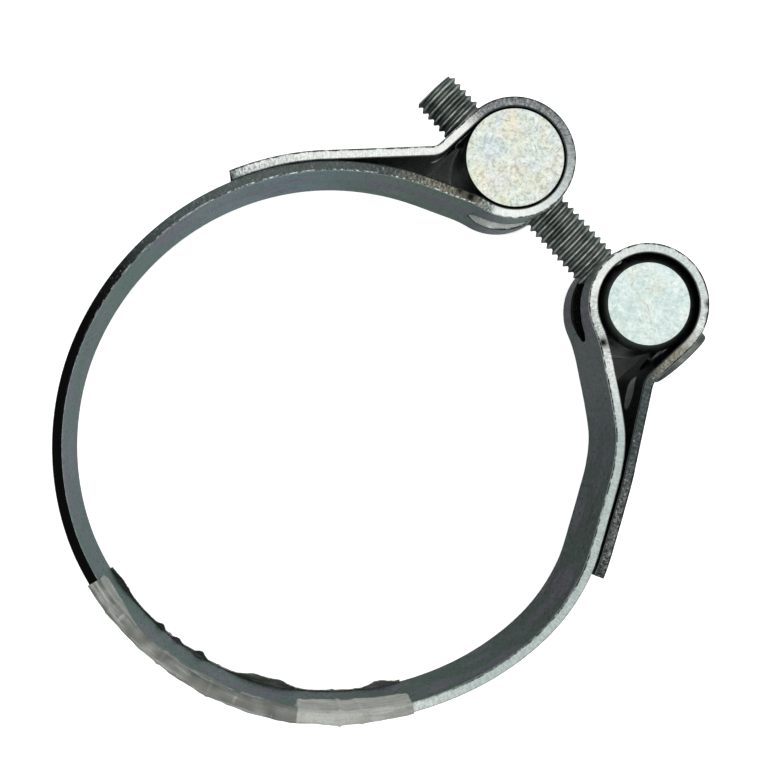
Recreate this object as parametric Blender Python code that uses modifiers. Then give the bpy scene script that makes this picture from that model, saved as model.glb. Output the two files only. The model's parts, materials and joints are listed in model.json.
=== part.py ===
"""A heavy-duty pipe repair clamp: one steel strip bent to a ring, whose ends loop round two cross bars
that a single bolt draws together. It lies flat on the lower edge of its strip. Metres, +Z up.

The ring's axis is +Z through the origin, and the strip's lower edge lies at z = 0. The strip is split
at its back, where it flexes, so that its two halves turn about one hinge there.
"""

import math

import bmesh
import bpy
from mathutils import Matrix, Vector

MM = 0.001
UP = Vector((0.0, 0.0, 1.0))

# The strip.
BAND_WIDTH = 20.0 * MM
BAND_THICK = 1.2 * MM
MID_HEIGHT = BAND_WIDTH / 2

# The two eyes that hold the cross bars, and the strip's path round each of them.
LEFT_EYE = Vector((21.15, 34.40)) * MM
RIGHT_EYE = Vector((37.40, 16.80)) * MM
EYE_INNER_R = 6.2 * MM
EYE_R = EYE_INNER_R + BAND_THICK / 2
FLAT_RUN = 6.3 * MM
BEND_R = 2.2 * MM

# Each tail: the bearing where it comes to lie on the ring, the bearing of its end, and its gap there.
LEFT_TAIL = (92.0, 112.2, 0.12 * MM)
RIGHT_TAIL = (355.0, 332.6, 0.35 * MM)

# The ring's middle line as it was bent by hand: degrees round from +X, and radius in millimetres.
# Each end runs into an eye, whose place sets the radius there.
RING_SHAPE = (
    (67.0, 33.15),
    (78.0, 33.15),
    (95.0, 33.25),
    (120.0, 33.20),
    (145.0, 33.20),
    (168.0, 33.40),
    (198.0, 33.55),
    (212.0, 33.40),
    (226.0, 33.15),
    (246.0, 33.00),
    (266.0, 32.78),
    (280.0, 32.68),
    (292.0, 32.80),
    (306.0, 33.20),
    (321.0, 33.68),
    (332.0, 33.60),
    (341.0, 33.15),
    (348.0, 33.20),
    (355.0, 33.65),
    (361.0, 33.92),
    (368.0, 33.75),
    (374.0, 33.75),
)
RING_STEP = 3.0
EYE_STEP = 9.0

# The bolt, its slots through the strip and the cross bars.
BOLT_R = 3.0 * MM
BOLT_TIP_CHAMFER = 0.7 * MM
TIP_PAST_EYE = 13.2 * MM
HEAD_R = 4.3 * MM
HEAD_HEIGHT = 1.6 * MM
HEAD_CHAMFER = 0.3 * MM
SOCKET_ACROSS_FLATS = 4.0 * MM
SOCKET_DEPTH = 3.2 * MM
SLOT_WIDTH = 7.0 * MM
SLOT_PAST_BOLT = 4.5 * MM
SLOT_TO_PIPE_SIDE = 9.6 * MM
BAR_R = 5.85 * MM
THREADED_BAR_CHAMFER = 0.15 * MM
PLAIN_BAR_CHAMFER = 0.85 * MM

# The spot welds that hold each tail to the ring, as heights on the strip.
WELD_R = 2.0 * MM
WELD_HEIGHTS = (5.5 * MM, 14.5 * MM)

# The sticker round the back of the ring.
LABEL_BEARINGS = (209.5, 285.5)
LABEL_THICK = 0.3 * MM
LABEL_INSIDE_HEIGHT = 8.0 * MM
LABEL_FLOOR_GAP = 0.4 * MM

# Gaps between neighbouring solids.
GAP = 0.3 * MM
ROUND_STEPS = 48

BOLT_DIRECTION = (RIGHT_EYE - LEFT_EYE).normalized()
INWARD = Vector((BOLT_DIRECTION.y, -BOLT_DIRECTION.x))


def bearing_of(point):
    """The point's direction from the ring's axis, in degrees."""
    return math.degrees(math.atan2(point.y, point.x))


def polar(radius, bearing):
    """The point at this radius and bearing from the ring's axis."""
    angle = math.radians(bearing)
    return Vector((radius * math.cos(angle), radius * math.sin(angle)))


RING_KNOTS = (
    (bearing_of(LEFT_EYE), LEFT_EYE.length - EYE_R),
    *((bearing, radius * MM) for bearing, radius in RING_SHAPE),
    (bearing_of(RIGHT_EYE) + 360.0, RIGHT_EYE.length - EYE_R),
)


def knot_slope(index):
    """The ring's change of radius per degree at a knot. At both eyes the ring is square to them."""
    if index in (0, len(RING_KNOTS) - 1):
        return 0.0
    before, after = RING_KNOTS[index - 1], RING_KNOTS[index + 1]
    return (after[1] - before[1]) / (after[0] - before[0])


def ring_radius(bearing):
    """The radius of the strip's middle line at a bearing, on a smooth curve through the knots."""
    index = 0
    while index < len(RING_KNOTS) - 2 and RING_KNOTS[index + 1][0] < bearing:
        index += 1
    (start, low), (end, high) = RING_KNOTS[index], RING_KNOTS[index + 1]
    span = end - start
    part = (bearing - start) / span
    return (
        low * (1 + 2 * part) * (1 - part) ** 2
        + high * part**2 * (3 - 2 * part)
        + knot_slope(index) * span * part * (1 - part) ** 2
        - knot_slope(index + 1) * span * part**2 * (1 - part)
    )


def seam_bearing():
    """The bearing at the ring's back that lies equally far from both eyes."""
    middle = (LEFT_EYE + RIGHT_EYE) / 2
    bearing = bearing_of(INWARD) % 360.0
    for _ in range(6):
        along = -middle.dot(INWARD)
        off_line = middle + INWARD * along
        reach = math.sqrt(ring_radius(bearing) ** 2 - off_line.length_squared)
        bearing = bearing_of(off_line + INWARD * reach) % 360.0
    return bearing


SEAM_BEARING = seam_bearing()
HINGE = polar(ring_radius(SEAM_BEARING), SEAM_BEARING)


def spaced(start, end, step):
    """Numbers from start to end, both included, at most a step apart."""
    count = max(1, math.ceil(abs(end - start) / step))
    return [start + (end - start) * i / count for i in range(count + 1)]


def ring_points(start, end, offset=0.0):
    """Points of the ring between two bearings, moved outwards by an offset."""
    return [polar(ring_radius(b) + offset, b) for b in spaced(start, end, RING_STEP)]


def rounded_corner(before, corner, after, radius):
    """The corner between two straight runs, as the arc of a bend."""
    enter = (corner - before).normalized()
    leave = (after - corner).normalized()
    turn = enter.angle_signed(leave)
    reach = radius * math.tan(abs(turn) / 2)
    start = corner - enter * reach
    side = Vector((enter.y, -enter.x)) * math.copysign(radius, turn)
    centre = start + side
    arc = spaced(0.0, -turn, math.radians(EYE_STEP))
    return [centre + Matrix.Rotation(angle, 2) @ (start - centre) for angle in arc]


def eye_path(eye, turn, away):
    """The arc of the strip round an eye, from the ring to the point that faces away from the bolt."""
    start = bearing_of(eye) + 180.0
    sweep = (turn * (bearing_of(away) - start)) % 360.0
    return [eye + polar(EYE_R, b) for b in spaced(start, start + turn * sweep, EYE_STEP)]


def strip_path(eye, turn, away, tail, seam_gap):
    """The middle line of one half of the strip, from the seam round the eye to the tail's end."""
    contact, end, tail_gap = tail
    eye_bearing = RING_KNOTS[0][0] if turn > 0 else RING_KNOTS[-1][0]
    seam = SEAM_BEARING - turn * math.degrees(seam_gap / HINGE.length)
    arc = eye_path(eye, turn, away)
    corner = arc[-1] + INWARD * FLAT_RUN
    flat_tail = ring_points(contact, end, BAND_THICK + tail_gap)
    bend = rounded_corner(arc[-1], corner, flat_tail[0], BEND_R)
    return ring_points(seam, eye_bearing)[:-1] + arc + bend + flat_tail


LEFT_PATH = strip_path(LEFT_EYE, 1.0, -BOLT_DIRECTION, LEFT_TAIL, GAP / 2)
RIGHT_PATH = strip_path(RIGHT_EYE, -1.0, BOLT_DIRECTION, RIGHT_TAIL, GAP / 2)


def nearest_length(path, point):
    """How far along a path its nearest place to a point lies."""
    nearest_gap, nearest_walk = math.inf, 0.0
    walked = 0.0
    for here, there in zip(path, path[1:]):
        run = there - here
        part = min(1.0, max(0.0, (point - here).dot(run) / run.length_squared))
        gap = (here.lerp(there, part) - point).length
        if gap < nearest_gap:
            nearest_gap, nearest_walk = gap, walked + part * run.length
        walked += run.length
    return nearest_walk


def stretch(path, start, end):
    """The part of a path between two lengths along it."""
    points = []
    walked = 0.0
    for here, there in zip(path, path[1:]):
        run = (there - here).length
        if walked + run > start and walked < end:
            first = here.lerp(there, max(0.0, (start - walked) / run))
            points.append(first)
            if walked + run >= end:
                points.append(here.lerp(there, (end - walked) / run))
        walked += run
    return points


# --- Making objects -------------------------------------------------------------------------------

for old in list(bpy.data.objects):
    bpy.data.objects.remove(old, do_unlink=True)

parts = bpy.data.collections.new("pipe_repair_clamp")
cutters = bpy.data.collections.new("cutters")
bpy.context.scene.collection.children.link(parts)
bpy.context.scene.collection.children.link(cutters)


def finish(name, color, roughness, metallic):
    """A plain Principled material."""
    material = bpy.data.materials.new(name)
    material.use_nodes = True
    shader = material.node_tree.nodes["Principled BSDF"]
    shader.inputs["Base Color"].default_value = (*color, 1.0)
    shader.inputs["Roughness"].default_value = roughness
    shader.inputs["Metallic"].default_value = metallic
    return material


def add_mesh(name, mesh, collection):
    """A new object for a mesh, in a collection."""
    thing = bpy.data.objects.new(name, mesh)
    collection.objects.link(thing)
    if collection == cutters:
        thing.hide_render = True
        thing.display_type = "WIRE"
    return thing


def from_bmesh(name, shape, collection):
    """A new object from a bmesh, which it frees."""
    mesh = bpy.data.meshes.new(name)
    shape.to_mesh(mesh)
    shape.free()
    return add_mesh(name, mesh, collection)


def ribbon(name, path, low, high, thick, collection, offset=0.0):
    """A strip that stands on its edge along a path, from the height low to the height high."""
    guide = bpy.data.curves.new(name + "_line", "CURVE")
    guide.dimensions = "2D"
    guide.extrude = (high - low) / 2
    line = guide.splines.new("POLY")
    line.points.add(len(path) - 1)
    for knot, point in zip(line.points, path):
        knot.co = (point.x, point.y, 0.0, 1.0)
    curve = add_mesh(name + "_line", guide, cutters)
    bpy.context.view_layer.update()
    graph = bpy.context.evaluated_depsgraph_get()
    mesh = bpy.data.meshes.new_from_object(curve.evaluated_get(graph))
    bpy.data.objects.remove(curve, do_unlink=True)
    mesh.name = name
    mesh.transform(Matrix.Translation((0.0, 0.0, (low + high) / 2)))
    strip = add_mesh(name, mesh, collection)
    wall = strip.modifiers.new("wall", "SOLIDIFY")
    wall.thickness = thick
    wall.offset = offset
    wall.use_even_offset = True
    return strip


def rod(name, start, end, radius, sides, collection):
    """A straight cylinder or prism between two points."""
    shape = bmesh.new()
    axis = end - start
    bmesh.ops.create_cone(
        shape,
        cap_ends=True,
        segments=sides,
        radius1=radius,
        radius2=radius,
        depth=axis.length,
        matrix=Matrix.Translation((start + end) / 2) @ axis.to_track_quat("Z", "Y").to_matrix().to_4x4(),
    )
    return from_bmesh(name, shape, collection)


def turned(name, profile, collection):
    """A turned shape about its own Z, from (radius, height) points that run down its outer side."""
    shape = bmesh.new()
    corners = [shape.verts.new((radius, 0.0, height)) for radius, height in profile]
    for upper, lower in zip(corners, corners[1:]):
        shape.edges.new((upper, lower))
    thing = from_bmesh(name, shape, collection)
    lathe = thing.modifiers.new("lathe", "SCREW")
    lathe.steps = ROUND_STEPS
    lathe.render_steps = ROUND_STEPS
    lathe.use_merge_vertices = True
    lathe.merge_threshold = 0.00001
    return thing


def combine(target, other, operation):
    """A Boolean of a target with another object."""
    step = target.modifiers.new(other.name, "BOOLEAN")
    step.operation = operation
    step.solver = "EXACT"
    step.object = other


def set_origin(thing, point):
    """Moves an object's origin to a point, leaving its shape where it is."""
    thing.data.transform(Matrix.Translation(-point))
    thing.location = point


def raised(point, height=MID_HEIGHT):
    """A point of the plan at a height above the ground."""
    return Vector((point.x, point.y, height))


# --- The strip ------------------------------------------------------------------------------------


def slot_cutter(name, path, start, end):
    """A bar that follows the strip and cuts a slot as wide as the bolt needs."""
    low = MID_HEIGHT - SLOT_WIDTH / 2
    high = MID_HEIGHT + SLOT_WIDTH / 2
    return ribbon(name, stretch(path, start, end), low, high, 3 * BAND_THICK, cutters)


def spot_weld(name, bearing, tail_gap, height):
    """A nugget of metal that joins a tail to the ring under it."""
    inner = polar(ring_radius(bearing), bearing)
    outer = polar(ring_radius(bearing) + BAND_THICK + tail_gap, bearing)
    return rod(name, raised(inner, height), raised(outer, height), WELD_R, 24, cutters)


def band_half(side, path, eye, facing, tail, color_and_finish):
    """One half of the strip, with the bolt's two slots and the welds of its tail."""
    band = ribbon(f"band_{side}", path, 0.0, BAND_WIDTH, BAND_THICK, parts)
    band.data.materials.append(color_and_finish)
    front = nearest_length(path, eye + facing * EYE_R)
    back = nearest_length(path, eye - facing * EYE_R)
    front_slot = slot_cutter(f"{side}_front_slot", path, front - SLOT_TO_PIPE_SIDE, front + SLOT_PAST_BOLT)
    back_slot = slot_cutter(f"{side}_back_slot", path, back - SLOT_PAST_BOLT, back + SLOT_PAST_BOLT)
    combine(band, front_slot, "DIFFERENCE")
    combine(band, back_slot, "DIFFERENCE")
    for number, height in enumerate(WELD_HEIGHTS):
        weld = spot_weld(f"{side}_weld_{number}", (tail[0] + tail[1]) / 2, tail[2], height)
        combine(band, weld, "UNION")
    return band


zinc = finish("zinc_plated_strip", (0.62, 0.65, 0.65), 0.35, 1.0)
zinc_again = finish("zinc_plated_strip_left", (0.62, 0.65, 0.65), 0.35, 1.0)
band_right = band_half("right", RIGHT_PATH, RIGHT_EYE, -BOLT_DIRECTION, RIGHT_TAIL, zinc)
band_left = band_half("left", LEFT_PATH, LEFT_EYE, BOLT_DIRECTION, LEFT_TAIL, zinc_again)
set_origin(band_left, raised(HINGE))


# --- The cross bars -------------------------------------------------------------------------------


def cross_bar(name, eye, chamfer, color_and_finish):
    """A short round bar that stands in an eye and is bored across for the bolt."""
    half = BAND_WIDTH / 2
    profile = (
        (0.0, half),
        (BAR_R - chamfer, half),
        (BAR_R, half - chamfer),
        (BAR_R, chamfer - half),
        (BAR_R - chamfer, -half),
        (0.0, -half),
    )
    bar = turned(name, profile, parts)
    bar.data.materials.append(color_and_finish)
    bar.location = raised(eye)
    reach = BOLT_DIRECTION * 2 * BAR_R
    bore = rod(name + "_bore", raised(eye - reach), raised(eye + reach), BOLT_R + GAP, 32, cutters)
    combine(bar, bore, "DIFFERENCE")
    return bar


nut_steel = finish("zinc_plated_nut_bar", (0.80, 0.82, 0.80), 0.45, 1.0)
bar_steel = finish("zinc_plated_plain_bar", (0.78, 0.82, 0.81), 0.42, 1.0)
cross_bar("threaded_trunnion", LEFT_EYE, THREADED_BAR_CHAMFER, nut_steel)
cross_bar("plain_trunnion", RIGHT_EYE, PLAIN_BAR_CHAMFER, bar_steel)


# --- The bolt -------------------------------------------------------------------------------------


def clamp_bolt(color_and_finish):
    """The bolt, with a low round head and a hexagon socket. Its own +Z runs from head to tip."""
    eye_distance = (RIGHT_EYE - LEFT_EYE).length
    tip = eye_distance + TIP_PAST_EYE
    under_head = -(EYE_R + BAND_THICK / 2 + GAP)
    top = under_head - HEAD_HEIGHT
    profile = (
        (0.0, tip),
        (BOLT_R - BOLT_TIP_CHAMFER, tip),
        (BOLT_R, tip - BOLT_TIP_CHAMFER),
        (BOLT_R, under_head),
        (HEAD_R, under_head),
        (HEAD_R, top + HEAD_CHAMFER),
        (HEAD_R - HEAD_CHAMFER, top),
        (0.0, top),
    )
    bolt = turned("clamp_bolt", profile, parts)
    bolt.data.materials.append(color_and_finish)
    axis = Vector((*-BOLT_DIRECTION, 0.0))
    bolt.location = raised(RIGHT_EYE)
    bolt.rotation_mode = "QUATERNION"
    bolt.rotation_quaternion = axis.to_track_quat("Z", "Y")
    head_face = raised(RIGHT_EYE) + axis * top
    corner_r = SOCKET_ACROSS_FLATS / math.sqrt(3)
    socket = rod("socket", head_face - axis * MM, head_face + axis * SOCKET_DEPTH, corner_r, 6, cutters)
    combine(bolt, socket, "DIFFERENCE")


clamp_bolt(finish("bolt_steel", (0.36, 0.37, 0.36), 0.35, 1.0))


# --- The sticker ----------------------------------------------------------------------------------


def label_piece(side, start, end, color_and_finish):
    """One stretch of the sticker: it covers the strip's outside, upper edge and the top of its inside."""
    path = ring_points(start, end)
    outer = BAND_THICK + 2 * (GAP + LABEL_THICK)
    top = BAND_WIDTH + GAP + LABEL_THICK
    label = ribbon(f"label_{side}", path, LABEL_FLOOR_GAP, top, outer, parts)
    label.data.materials.append(color_and_finish)
    reach = math.degrees(MM / HINGE.length)
    long_path = ring_points(start - reach, end + reach)
    hollow = ribbon(
        f"label_{side}_hollow", long_path, -MM, BAND_WIDTH + GAP, BAND_THICK + 2 * GAP, cutters
    )
    inside_path = ring_points(start - reach, end + reach, -outer / 2)
    trim = ribbon(
        f"label_{side}_trim", inside_path, -MM, BAND_WIDTH - LABEL_INSIDE_HEIGHT, outer, cutters
    )
    combine(label, hollow, "DIFFERENCE")
    combine(label, trim, "DIFFERENCE")
    return label


half_seam = math.degrees(GAP / HINGE.length)
paper = finish("label_paper_right", (0.72, 0.71, 0.68), 0.7, 0.0)
paper_again = finish("label_paper_left", (0.72, 0.71, 0.68), 0.7, 0.0)
label_piece("right", SEAM_BEARING + half_seam, LABEL_BEARINGS[1], paper)
label_left = label_piece("left", LABEL_BEARINGS[0], SEAM_BEARING - half_seam, paper_again)
set_origin(label_left, raised(HINGE))

for thing in parts.objects:
    thing.data.shade_smooth()
    thing.data.set_sharp_from_angle(angle=math.radians(30.0))

degrees_per_turn = math.degrees(MM / (HINGE - (LEFT_EYE + RIGHT_EYE) / 2).length)
print("seam bearing", round(SEAM_BEARING, 3), "hinge", [round(v / MM, 3) for v in HINGE])
print("eyes apart", round((RIGHT_EYE - LEFT_EYE).length / MM, 3), "mm")
print("flex for one millimetre of closing", round(degrees_per_turn, 4), "degrees")
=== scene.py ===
# %% [markdown]
# # A pipe repair clamp
# A heavy strip of zinc-plated steel is bent to a ring. Each of its ends loops round a cross bar and is
# welded back to the ring, and one bolt through both bars draws the ring tight round a leaking pipe.
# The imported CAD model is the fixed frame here: it says where each piece lies and how it moves. This
# script builds the fine surfaces round it. The strip and the sticker are cut flat and then bent along
# one line, as in the workshop, and the bolt's thread is pressed into a plain turned rod.

# %% Load the frame
import json
import math

import bmesh
import bpy
import numpy as np
from mathutils import Matrix, Vector, noise


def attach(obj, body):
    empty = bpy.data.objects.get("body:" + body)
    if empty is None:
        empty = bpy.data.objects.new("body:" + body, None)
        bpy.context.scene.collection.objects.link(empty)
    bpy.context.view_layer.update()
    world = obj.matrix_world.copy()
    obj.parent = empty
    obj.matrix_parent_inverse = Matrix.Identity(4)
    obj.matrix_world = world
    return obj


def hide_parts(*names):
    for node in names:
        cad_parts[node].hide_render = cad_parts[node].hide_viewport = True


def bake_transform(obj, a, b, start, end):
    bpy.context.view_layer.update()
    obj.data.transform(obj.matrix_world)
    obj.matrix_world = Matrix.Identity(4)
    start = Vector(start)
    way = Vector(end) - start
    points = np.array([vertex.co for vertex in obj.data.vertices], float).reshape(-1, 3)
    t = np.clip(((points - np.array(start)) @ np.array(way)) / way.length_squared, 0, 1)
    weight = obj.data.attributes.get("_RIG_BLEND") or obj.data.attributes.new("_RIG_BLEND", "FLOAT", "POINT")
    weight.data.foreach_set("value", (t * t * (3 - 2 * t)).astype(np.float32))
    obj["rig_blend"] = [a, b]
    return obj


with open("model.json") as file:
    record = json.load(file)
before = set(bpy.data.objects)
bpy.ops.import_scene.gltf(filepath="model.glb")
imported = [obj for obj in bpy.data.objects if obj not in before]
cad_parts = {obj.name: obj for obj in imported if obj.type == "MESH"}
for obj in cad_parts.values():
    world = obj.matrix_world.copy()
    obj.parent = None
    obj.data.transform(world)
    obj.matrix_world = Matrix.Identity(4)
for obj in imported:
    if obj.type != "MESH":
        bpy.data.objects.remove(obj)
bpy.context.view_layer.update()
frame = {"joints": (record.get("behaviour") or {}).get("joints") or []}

# %% [markdown]
# ## The driving sizes
# The centres of the two eyes and the hinge at the ring's back come from the frame's joints, so that the
# strip passes exactly where the bars and the bolt are. The strip's gauge, the bends and the slots are
# workshop sizes, in metres.

# %% Sizes
MM = 0.001
joints = {joint["name"]: joint for joint in frame["joints"]}
LEFT_EYE = Vector(joints["threaded_bar_swivel"]["pos_m"][:2])
RIGHT_EYE = Vector(joints["plain_bar_swivel"]["pos_m"][:2])
HINGE = Vector(joints["band_flex"]["pos_m"][:2])
BOLT_DIRECTION = (RIGHT_EYE - LEFT_EYE).normalized()
INWARD = Vector((BOLT_DIRECTION.y, -BOLT_DIRECTION.x))

BAND_WIDTH = 20.0 * MM
BAND_THICK = 1.2 * MM
HALF_THICK = BAND_THICK / 2
MID_HEIGHT = BAND_WIDTH / 2
EYE_R = 6.8 * MM
FLAT_RUN = 6.3 * MM
BEND_R = 2.2 * MM
# Each tail: the bearing where it comes to lie on the ring, that of its end, and its gap there.
LEFT_TAIL = (92.0, 112.2, 0.12 * MM)
RIGHT_TAIL = (355.0, 332.6, 0.35 * MM)
print("eyes apart:", round((RIGHT_EYE - LEFT_EYE).length / MM, 3), "mm")

# %% [markdown]
# ## The line that the strip follows
# A bent strip is described best by its middle line, seen from above. The ring isn't a true circle: the
# bending tool left flats and swells, so its radius is a smooth curve through a few knots. At each eye
# the line turns into a small arc round the bar, then runs straight, bends and lies back on the ring.

# %% The ring's shape
# The strip's middle line: degrees round from +X, and radius in millimetres.
RING_SHAPE = (
    (67.0, 33.15),
    (78.0, 33.15),
    (95.0, 33.25),
    (120.0, 33.20),
    (145.0, 33.20),
    (168.0, 33.40),
    (198.0, 33.55),
    (212.0, 33.40),
    (226.0, 33.15),
    (246.0, 33.00),
    (266.0, 32.78),
    (280.0, 32.68),
    (292.0, 32.80),
    (306.0, 33.20),
    (321.0, 33.68),
    (332.0, 33.60),
    (341.0, 33.15),
    (348.0, 33.20),
    (355.0, 33.65),
    (361.0, 33.92),
    (368.0, 33.75),
    (374.0, 33.75),
)
print(len(RING_SHAPE), "knots round the ring")


# %% The ring's radius at each bearing
def bearing_of(point):
    """The point's direction from the ring's axis, in degrees."""
    return math.degrees(math.atan2(point.y, point.x))


def polar(radius, bearing):
    """The point at this radius and bearing from the ring's axis."""
    angle = math.radians(bearing)
    return Vector((radius * math.cos(angle), radius * math.sin(angle)))


LEFT_BEARING = bearing_of(LEFT_EYE)
RIGHT_BEARING = bearing_of(RIGHT_EYE) + 360.0
SEAM_BEARING = bearing_of(HINGE) % 360.0
RING_KNOTS = (
    (LEFT_BEARING, LEFT_EYE.length - EYE_R),
    *((bearing, radius * MM) for bearing, radius in RING_SHAPE),
    (RIGHT_BEARING, RIGHT_EYE.length - EYE_R),
)


def knot_slope(index):
    """The ring's change of radius per degree at a knot. At both eyes the ring is square to them."""
    if index in (0, len(RING_KNOTS) - 1):
        return 0.0
    before, after = RING_KNOTS[index - 1], RING_KNOTS[index + 1]
    return (after[1] - before[1]) / (after[0] - before[0])


def ring_radius(bearing):
    """The radius of the strip's middle line at a bearing, on a smooth curve through the knots."""
    index = 0
    while index < len(RING_KNOTS) - 2 and RING_KNOTS[index + 1][0] < bearing:
        index += 1
    (start, low), (end, high) = RING_KNOTS[index], RING_KNOTS[index + 1]
    span = end - start
    part = (bearing - start) / span
    return (
        low * (1 + 2 * part) * (1 - part) ** 2
        + high * part**2 * (3 - 2 * part)
        + knot_slope(index) * span * part * (1 - part) ** 2
        - knot_slope(index + 1) * span * part**2 * (1 - part)
    )


print("radius at the back:", round(ring_radius(SEAM_BEARING) / MM, 3), "mm")

# %% The whole line, from the end of one tail to the end of the other
RING_STEP = 0.6
ARC_STEP = 3.0


def spaced(start, end, step):
    """Numbers from start to end, both included, at most a step apart."""
    count = max(1, math.ceil(abs(end - start) / step))
    return [start + (end - start) * i / count for i in range(count + 1)]


def ring_points(start, end, offset=0.0):
    """Points of the ring between two bearings, moved outwards by an offset."""
    return [polar(ring_radius(b) + offset, b) for b in spaced(start, end, RING_STEP)]


def rounded_corner(before, corner, after, radius):
    """The corner between two straight runs, as the arc of a bend."""
    enter = (corner - before).normalized()
    leave = (after - corner).normalized()
    turn = enter.angle_signed(leave)
    start = corner - enter * radius * math.tan(abs(turn) / 2)
    side = Vector((enter.y, -enter.x)) * math.copysign(radius, turn)
    centre = start + side
    arc = spaced(0.0, -turn, math.radians(ARC_STEP))
    return [centre + Matrix.Rotation(angle, 2) @ (start - centre) for angle in arc]


def half_line(eye, eye_bearing, turn, away, tail):
    """The middle line of one half of the strip, from the ring's back round the eye to the tail's end."""
    contact, end, tail_gap = tail
    start = bearing_of(eye) + 180.0
    sweep = (turn * (bearing_of(away) - start)) % 360.0
    arc = [eye + polar(EYE_R, b) for b in spaced(start, start + turn * sweep, ARC_STEP)]
    flat_tail = ring_points(contact, end, BAND_THICK + tail_gap)
    bend = rounded_corner(arc[-1], arc[-1] + INWARD * FLAT_RUN, flat_tail[0], BEND_R)
    return ring_points(SEAM_BEARING, eye_bearing)[:-1] + arc + bend + flat_tail


left_line = half_line(LEFT_EYE, LEFT_BEARING, 1.0, -BOLT_DIRECTION, LEFT_TAIL)
right_line = half_line(RIGHT_EYE, RIGHT_BEARING, -1.0, BOLT_DIRECTION, RIGHT_TAIL)
LINE = left_line[::-1] + right_line[1:]
LINE_X = np.array([point.x for point in LINE])
LINE_Y = np.array([point.y for point in LINE])
LINE_AT = np.concatenate([[0.0], np.cumsum(np.hypot(np.diff(LINE_X), np.diff(LINE_Y)))])
LENGTH = float(LINE_AT[-1])
print("strip cut to", round(LENGTH / MM, 1), "mm;", len(LINE), "points on its line")


# %% Places along the line
def place_of(point):
    """How far along the line its nearest place to a point lies."""
    fine = np.linspace(0.0, LENGTH, 20000)
    gaps = np.hypot(
        np.interp(fine, LINE_AT, LINE_X) - point.x,
        np.interp(fine, LINE_AT, LINE_Y) - point.y,
    )
    return float(fine[gaps.argmin()])


def place_at(bearing):
    """How far along the line the ring passes this bearing."""
    return place_of(polar(ring_radius(bearing), bearing))


LEFT_BACK = place_of(LEFT_EYE - BOLT_DIRECTION * EYE_R)
LEFT_FRONT = place_of(LEFT_EYE + BOLT_DIRECTION * EYE_R)
RIGHT_FRONT = place_of(RIGHT_EYE - BOLT_DIRECTION * EYE_R)
RIGHT_BACK = place_of(RIGHT_EYE + BOLT_DIRECTION * EYE_R)
crossings = (LEFT_BACK, LEFT_FRONT, RIGHT_FRONT, RIGHT_BACK)
print("bolt crosses the strip at", [round(place / MM, 1) for place in crossings], "mm")

# %% [markdown]
# ## The camera
# It stands over the ring, a little towards the left of its middle, and looks down into it, so that the
# inside of the strip shows all round. It has no shift and no depth of field.

# %% Camera
CAMERA_AT = Vector((-9.72, 1.62, 255.2)) * MM
AIM_AT = Vector((5.41, 6.94, 20.0)) * MM

camera_data = bpy.data.cameras.new("camera")
camera_data.lens = 92.15
camera_data.sensor_width = 36.0
camera_data.clip_start = 0.01
camera = bpy.data.objects.new("camera", camera_data)
backwards = (CAMERA_AT - AIM_AT).normalized()
rightwards = Vector((0.0, 1.0, 0.0)).cross(backwards).normalized()
upwards = backwards.cross(rightwards)
turn = Matrix((rightwards, upwards, backwards)).transposed()
camera.matrix_world = Matrix.Translation(CAMERA_AT) @ turn.to_4x4()
bpy.context.scene.collection.objects.link(camera)
bpy.context.scene.camera = camera
print("camera", round((AIM_AT - CAMERA_AT).length / MM), "mm from the near edge")

# %% [markdown]
# ## Nodes in one line each
# Both kinds of node tree that follow, for shapes and for finishes, are built with the same few helpers.
# `put` adds a node, sets its properties and fills its inputs with plain values or with links, and the
# others are short names for its commonest uses. The last of the three cells turns what a tree makes into
# a plain mesh.


# %% Helpers for nodes
def put(tree, kind, sockets=None, **settings):
    """Adds a node, sets its properties, and fills its inputs with values or links."""
    node = tree.nodes.new(kind)
    for name, value in settings.items():
        setattr(node, name, value)
    for key, value in (sockets or {}).items():
        if isinstance(value, bpy.types.NodeSocket):
            tree.links.new(value, node.inputs[key])
        else:
            node.inputs[key].default_value = value
    return node


def math_of(tree, operation, first, second=0.0):
    """A Math node's result."""
    return put(tree, "ShaderNodeMath", {0: first, 1: second}, operation=operation).outputs[0]


def times(tree, first, second):
    """Two values multiplied."""
    return math_of(tree, "MULTIPLY", first, second)


def plus(tree, first, second):
    """Two values added."""
    return math_of(tree, "ADD", first, second)


def vector_of(tree, operation, first, second=(0.0, 0.0, 0.0)):
    """A Vector Math node's result."""
    node = put(tree, "ShaderNodeVectorMath", {0: first, 1: second}, operation=operation)
    return node.outputs[0]


print("node helpers: put, math_of, times, plus, vector_of")


# %% Helpers for trees that make shapes
def shape_tree(name, inputs):
    """A Geometry Nodes tree with named inputs, as (tree, its Group Input, its Group Output)."""
    tree = bpy.data.node_groups.new(name, "GeometryNodeTree")
    face = tree.interface
    face.new_socket("Geometry", in_out="INPUT", socket_type="NodeSocketGeometry")
    for title, kind in inputs:
        face.new_socket(title, in_out="INPUT", socket_type=kind)
    face.new_socket("Geometry", in_out="OUTPUT", socket_type="NodeSocketGeometry")
    return tree, tree.nodes.new("NodeGroupInput"), tree.nodes.new("NodeGroupOutput")


def kept_value(tree, geometry, name, value, kind):
    """The geometry with a value stored on its points, for its finish to read."""
    sockets = {"Geometry": geometry, "Name": name, "Value": value}
    kept = put(tree, "GeometryNodeStoreNamedAttribute", sockets, data_type=kind, domain="POINT")
    return kept.outputs[0]


def end_tree(tree, geometry, material, result):
    """Ends a tree in Realize Instances and Set Material."""
    real = put(tree, "GeometryNodeRealizeInstances", {"Geometry": geometry})
    sockets = {"Geometry": real.outputs[0], "Material": material}
    painted = put(tree, "GeometryNodeSetMaterial", sockets)
    tree.links.new(painted.outputs[0], result.inputs[0])


print("tree helpers: shape_tree, kept_value, end_tree")


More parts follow.
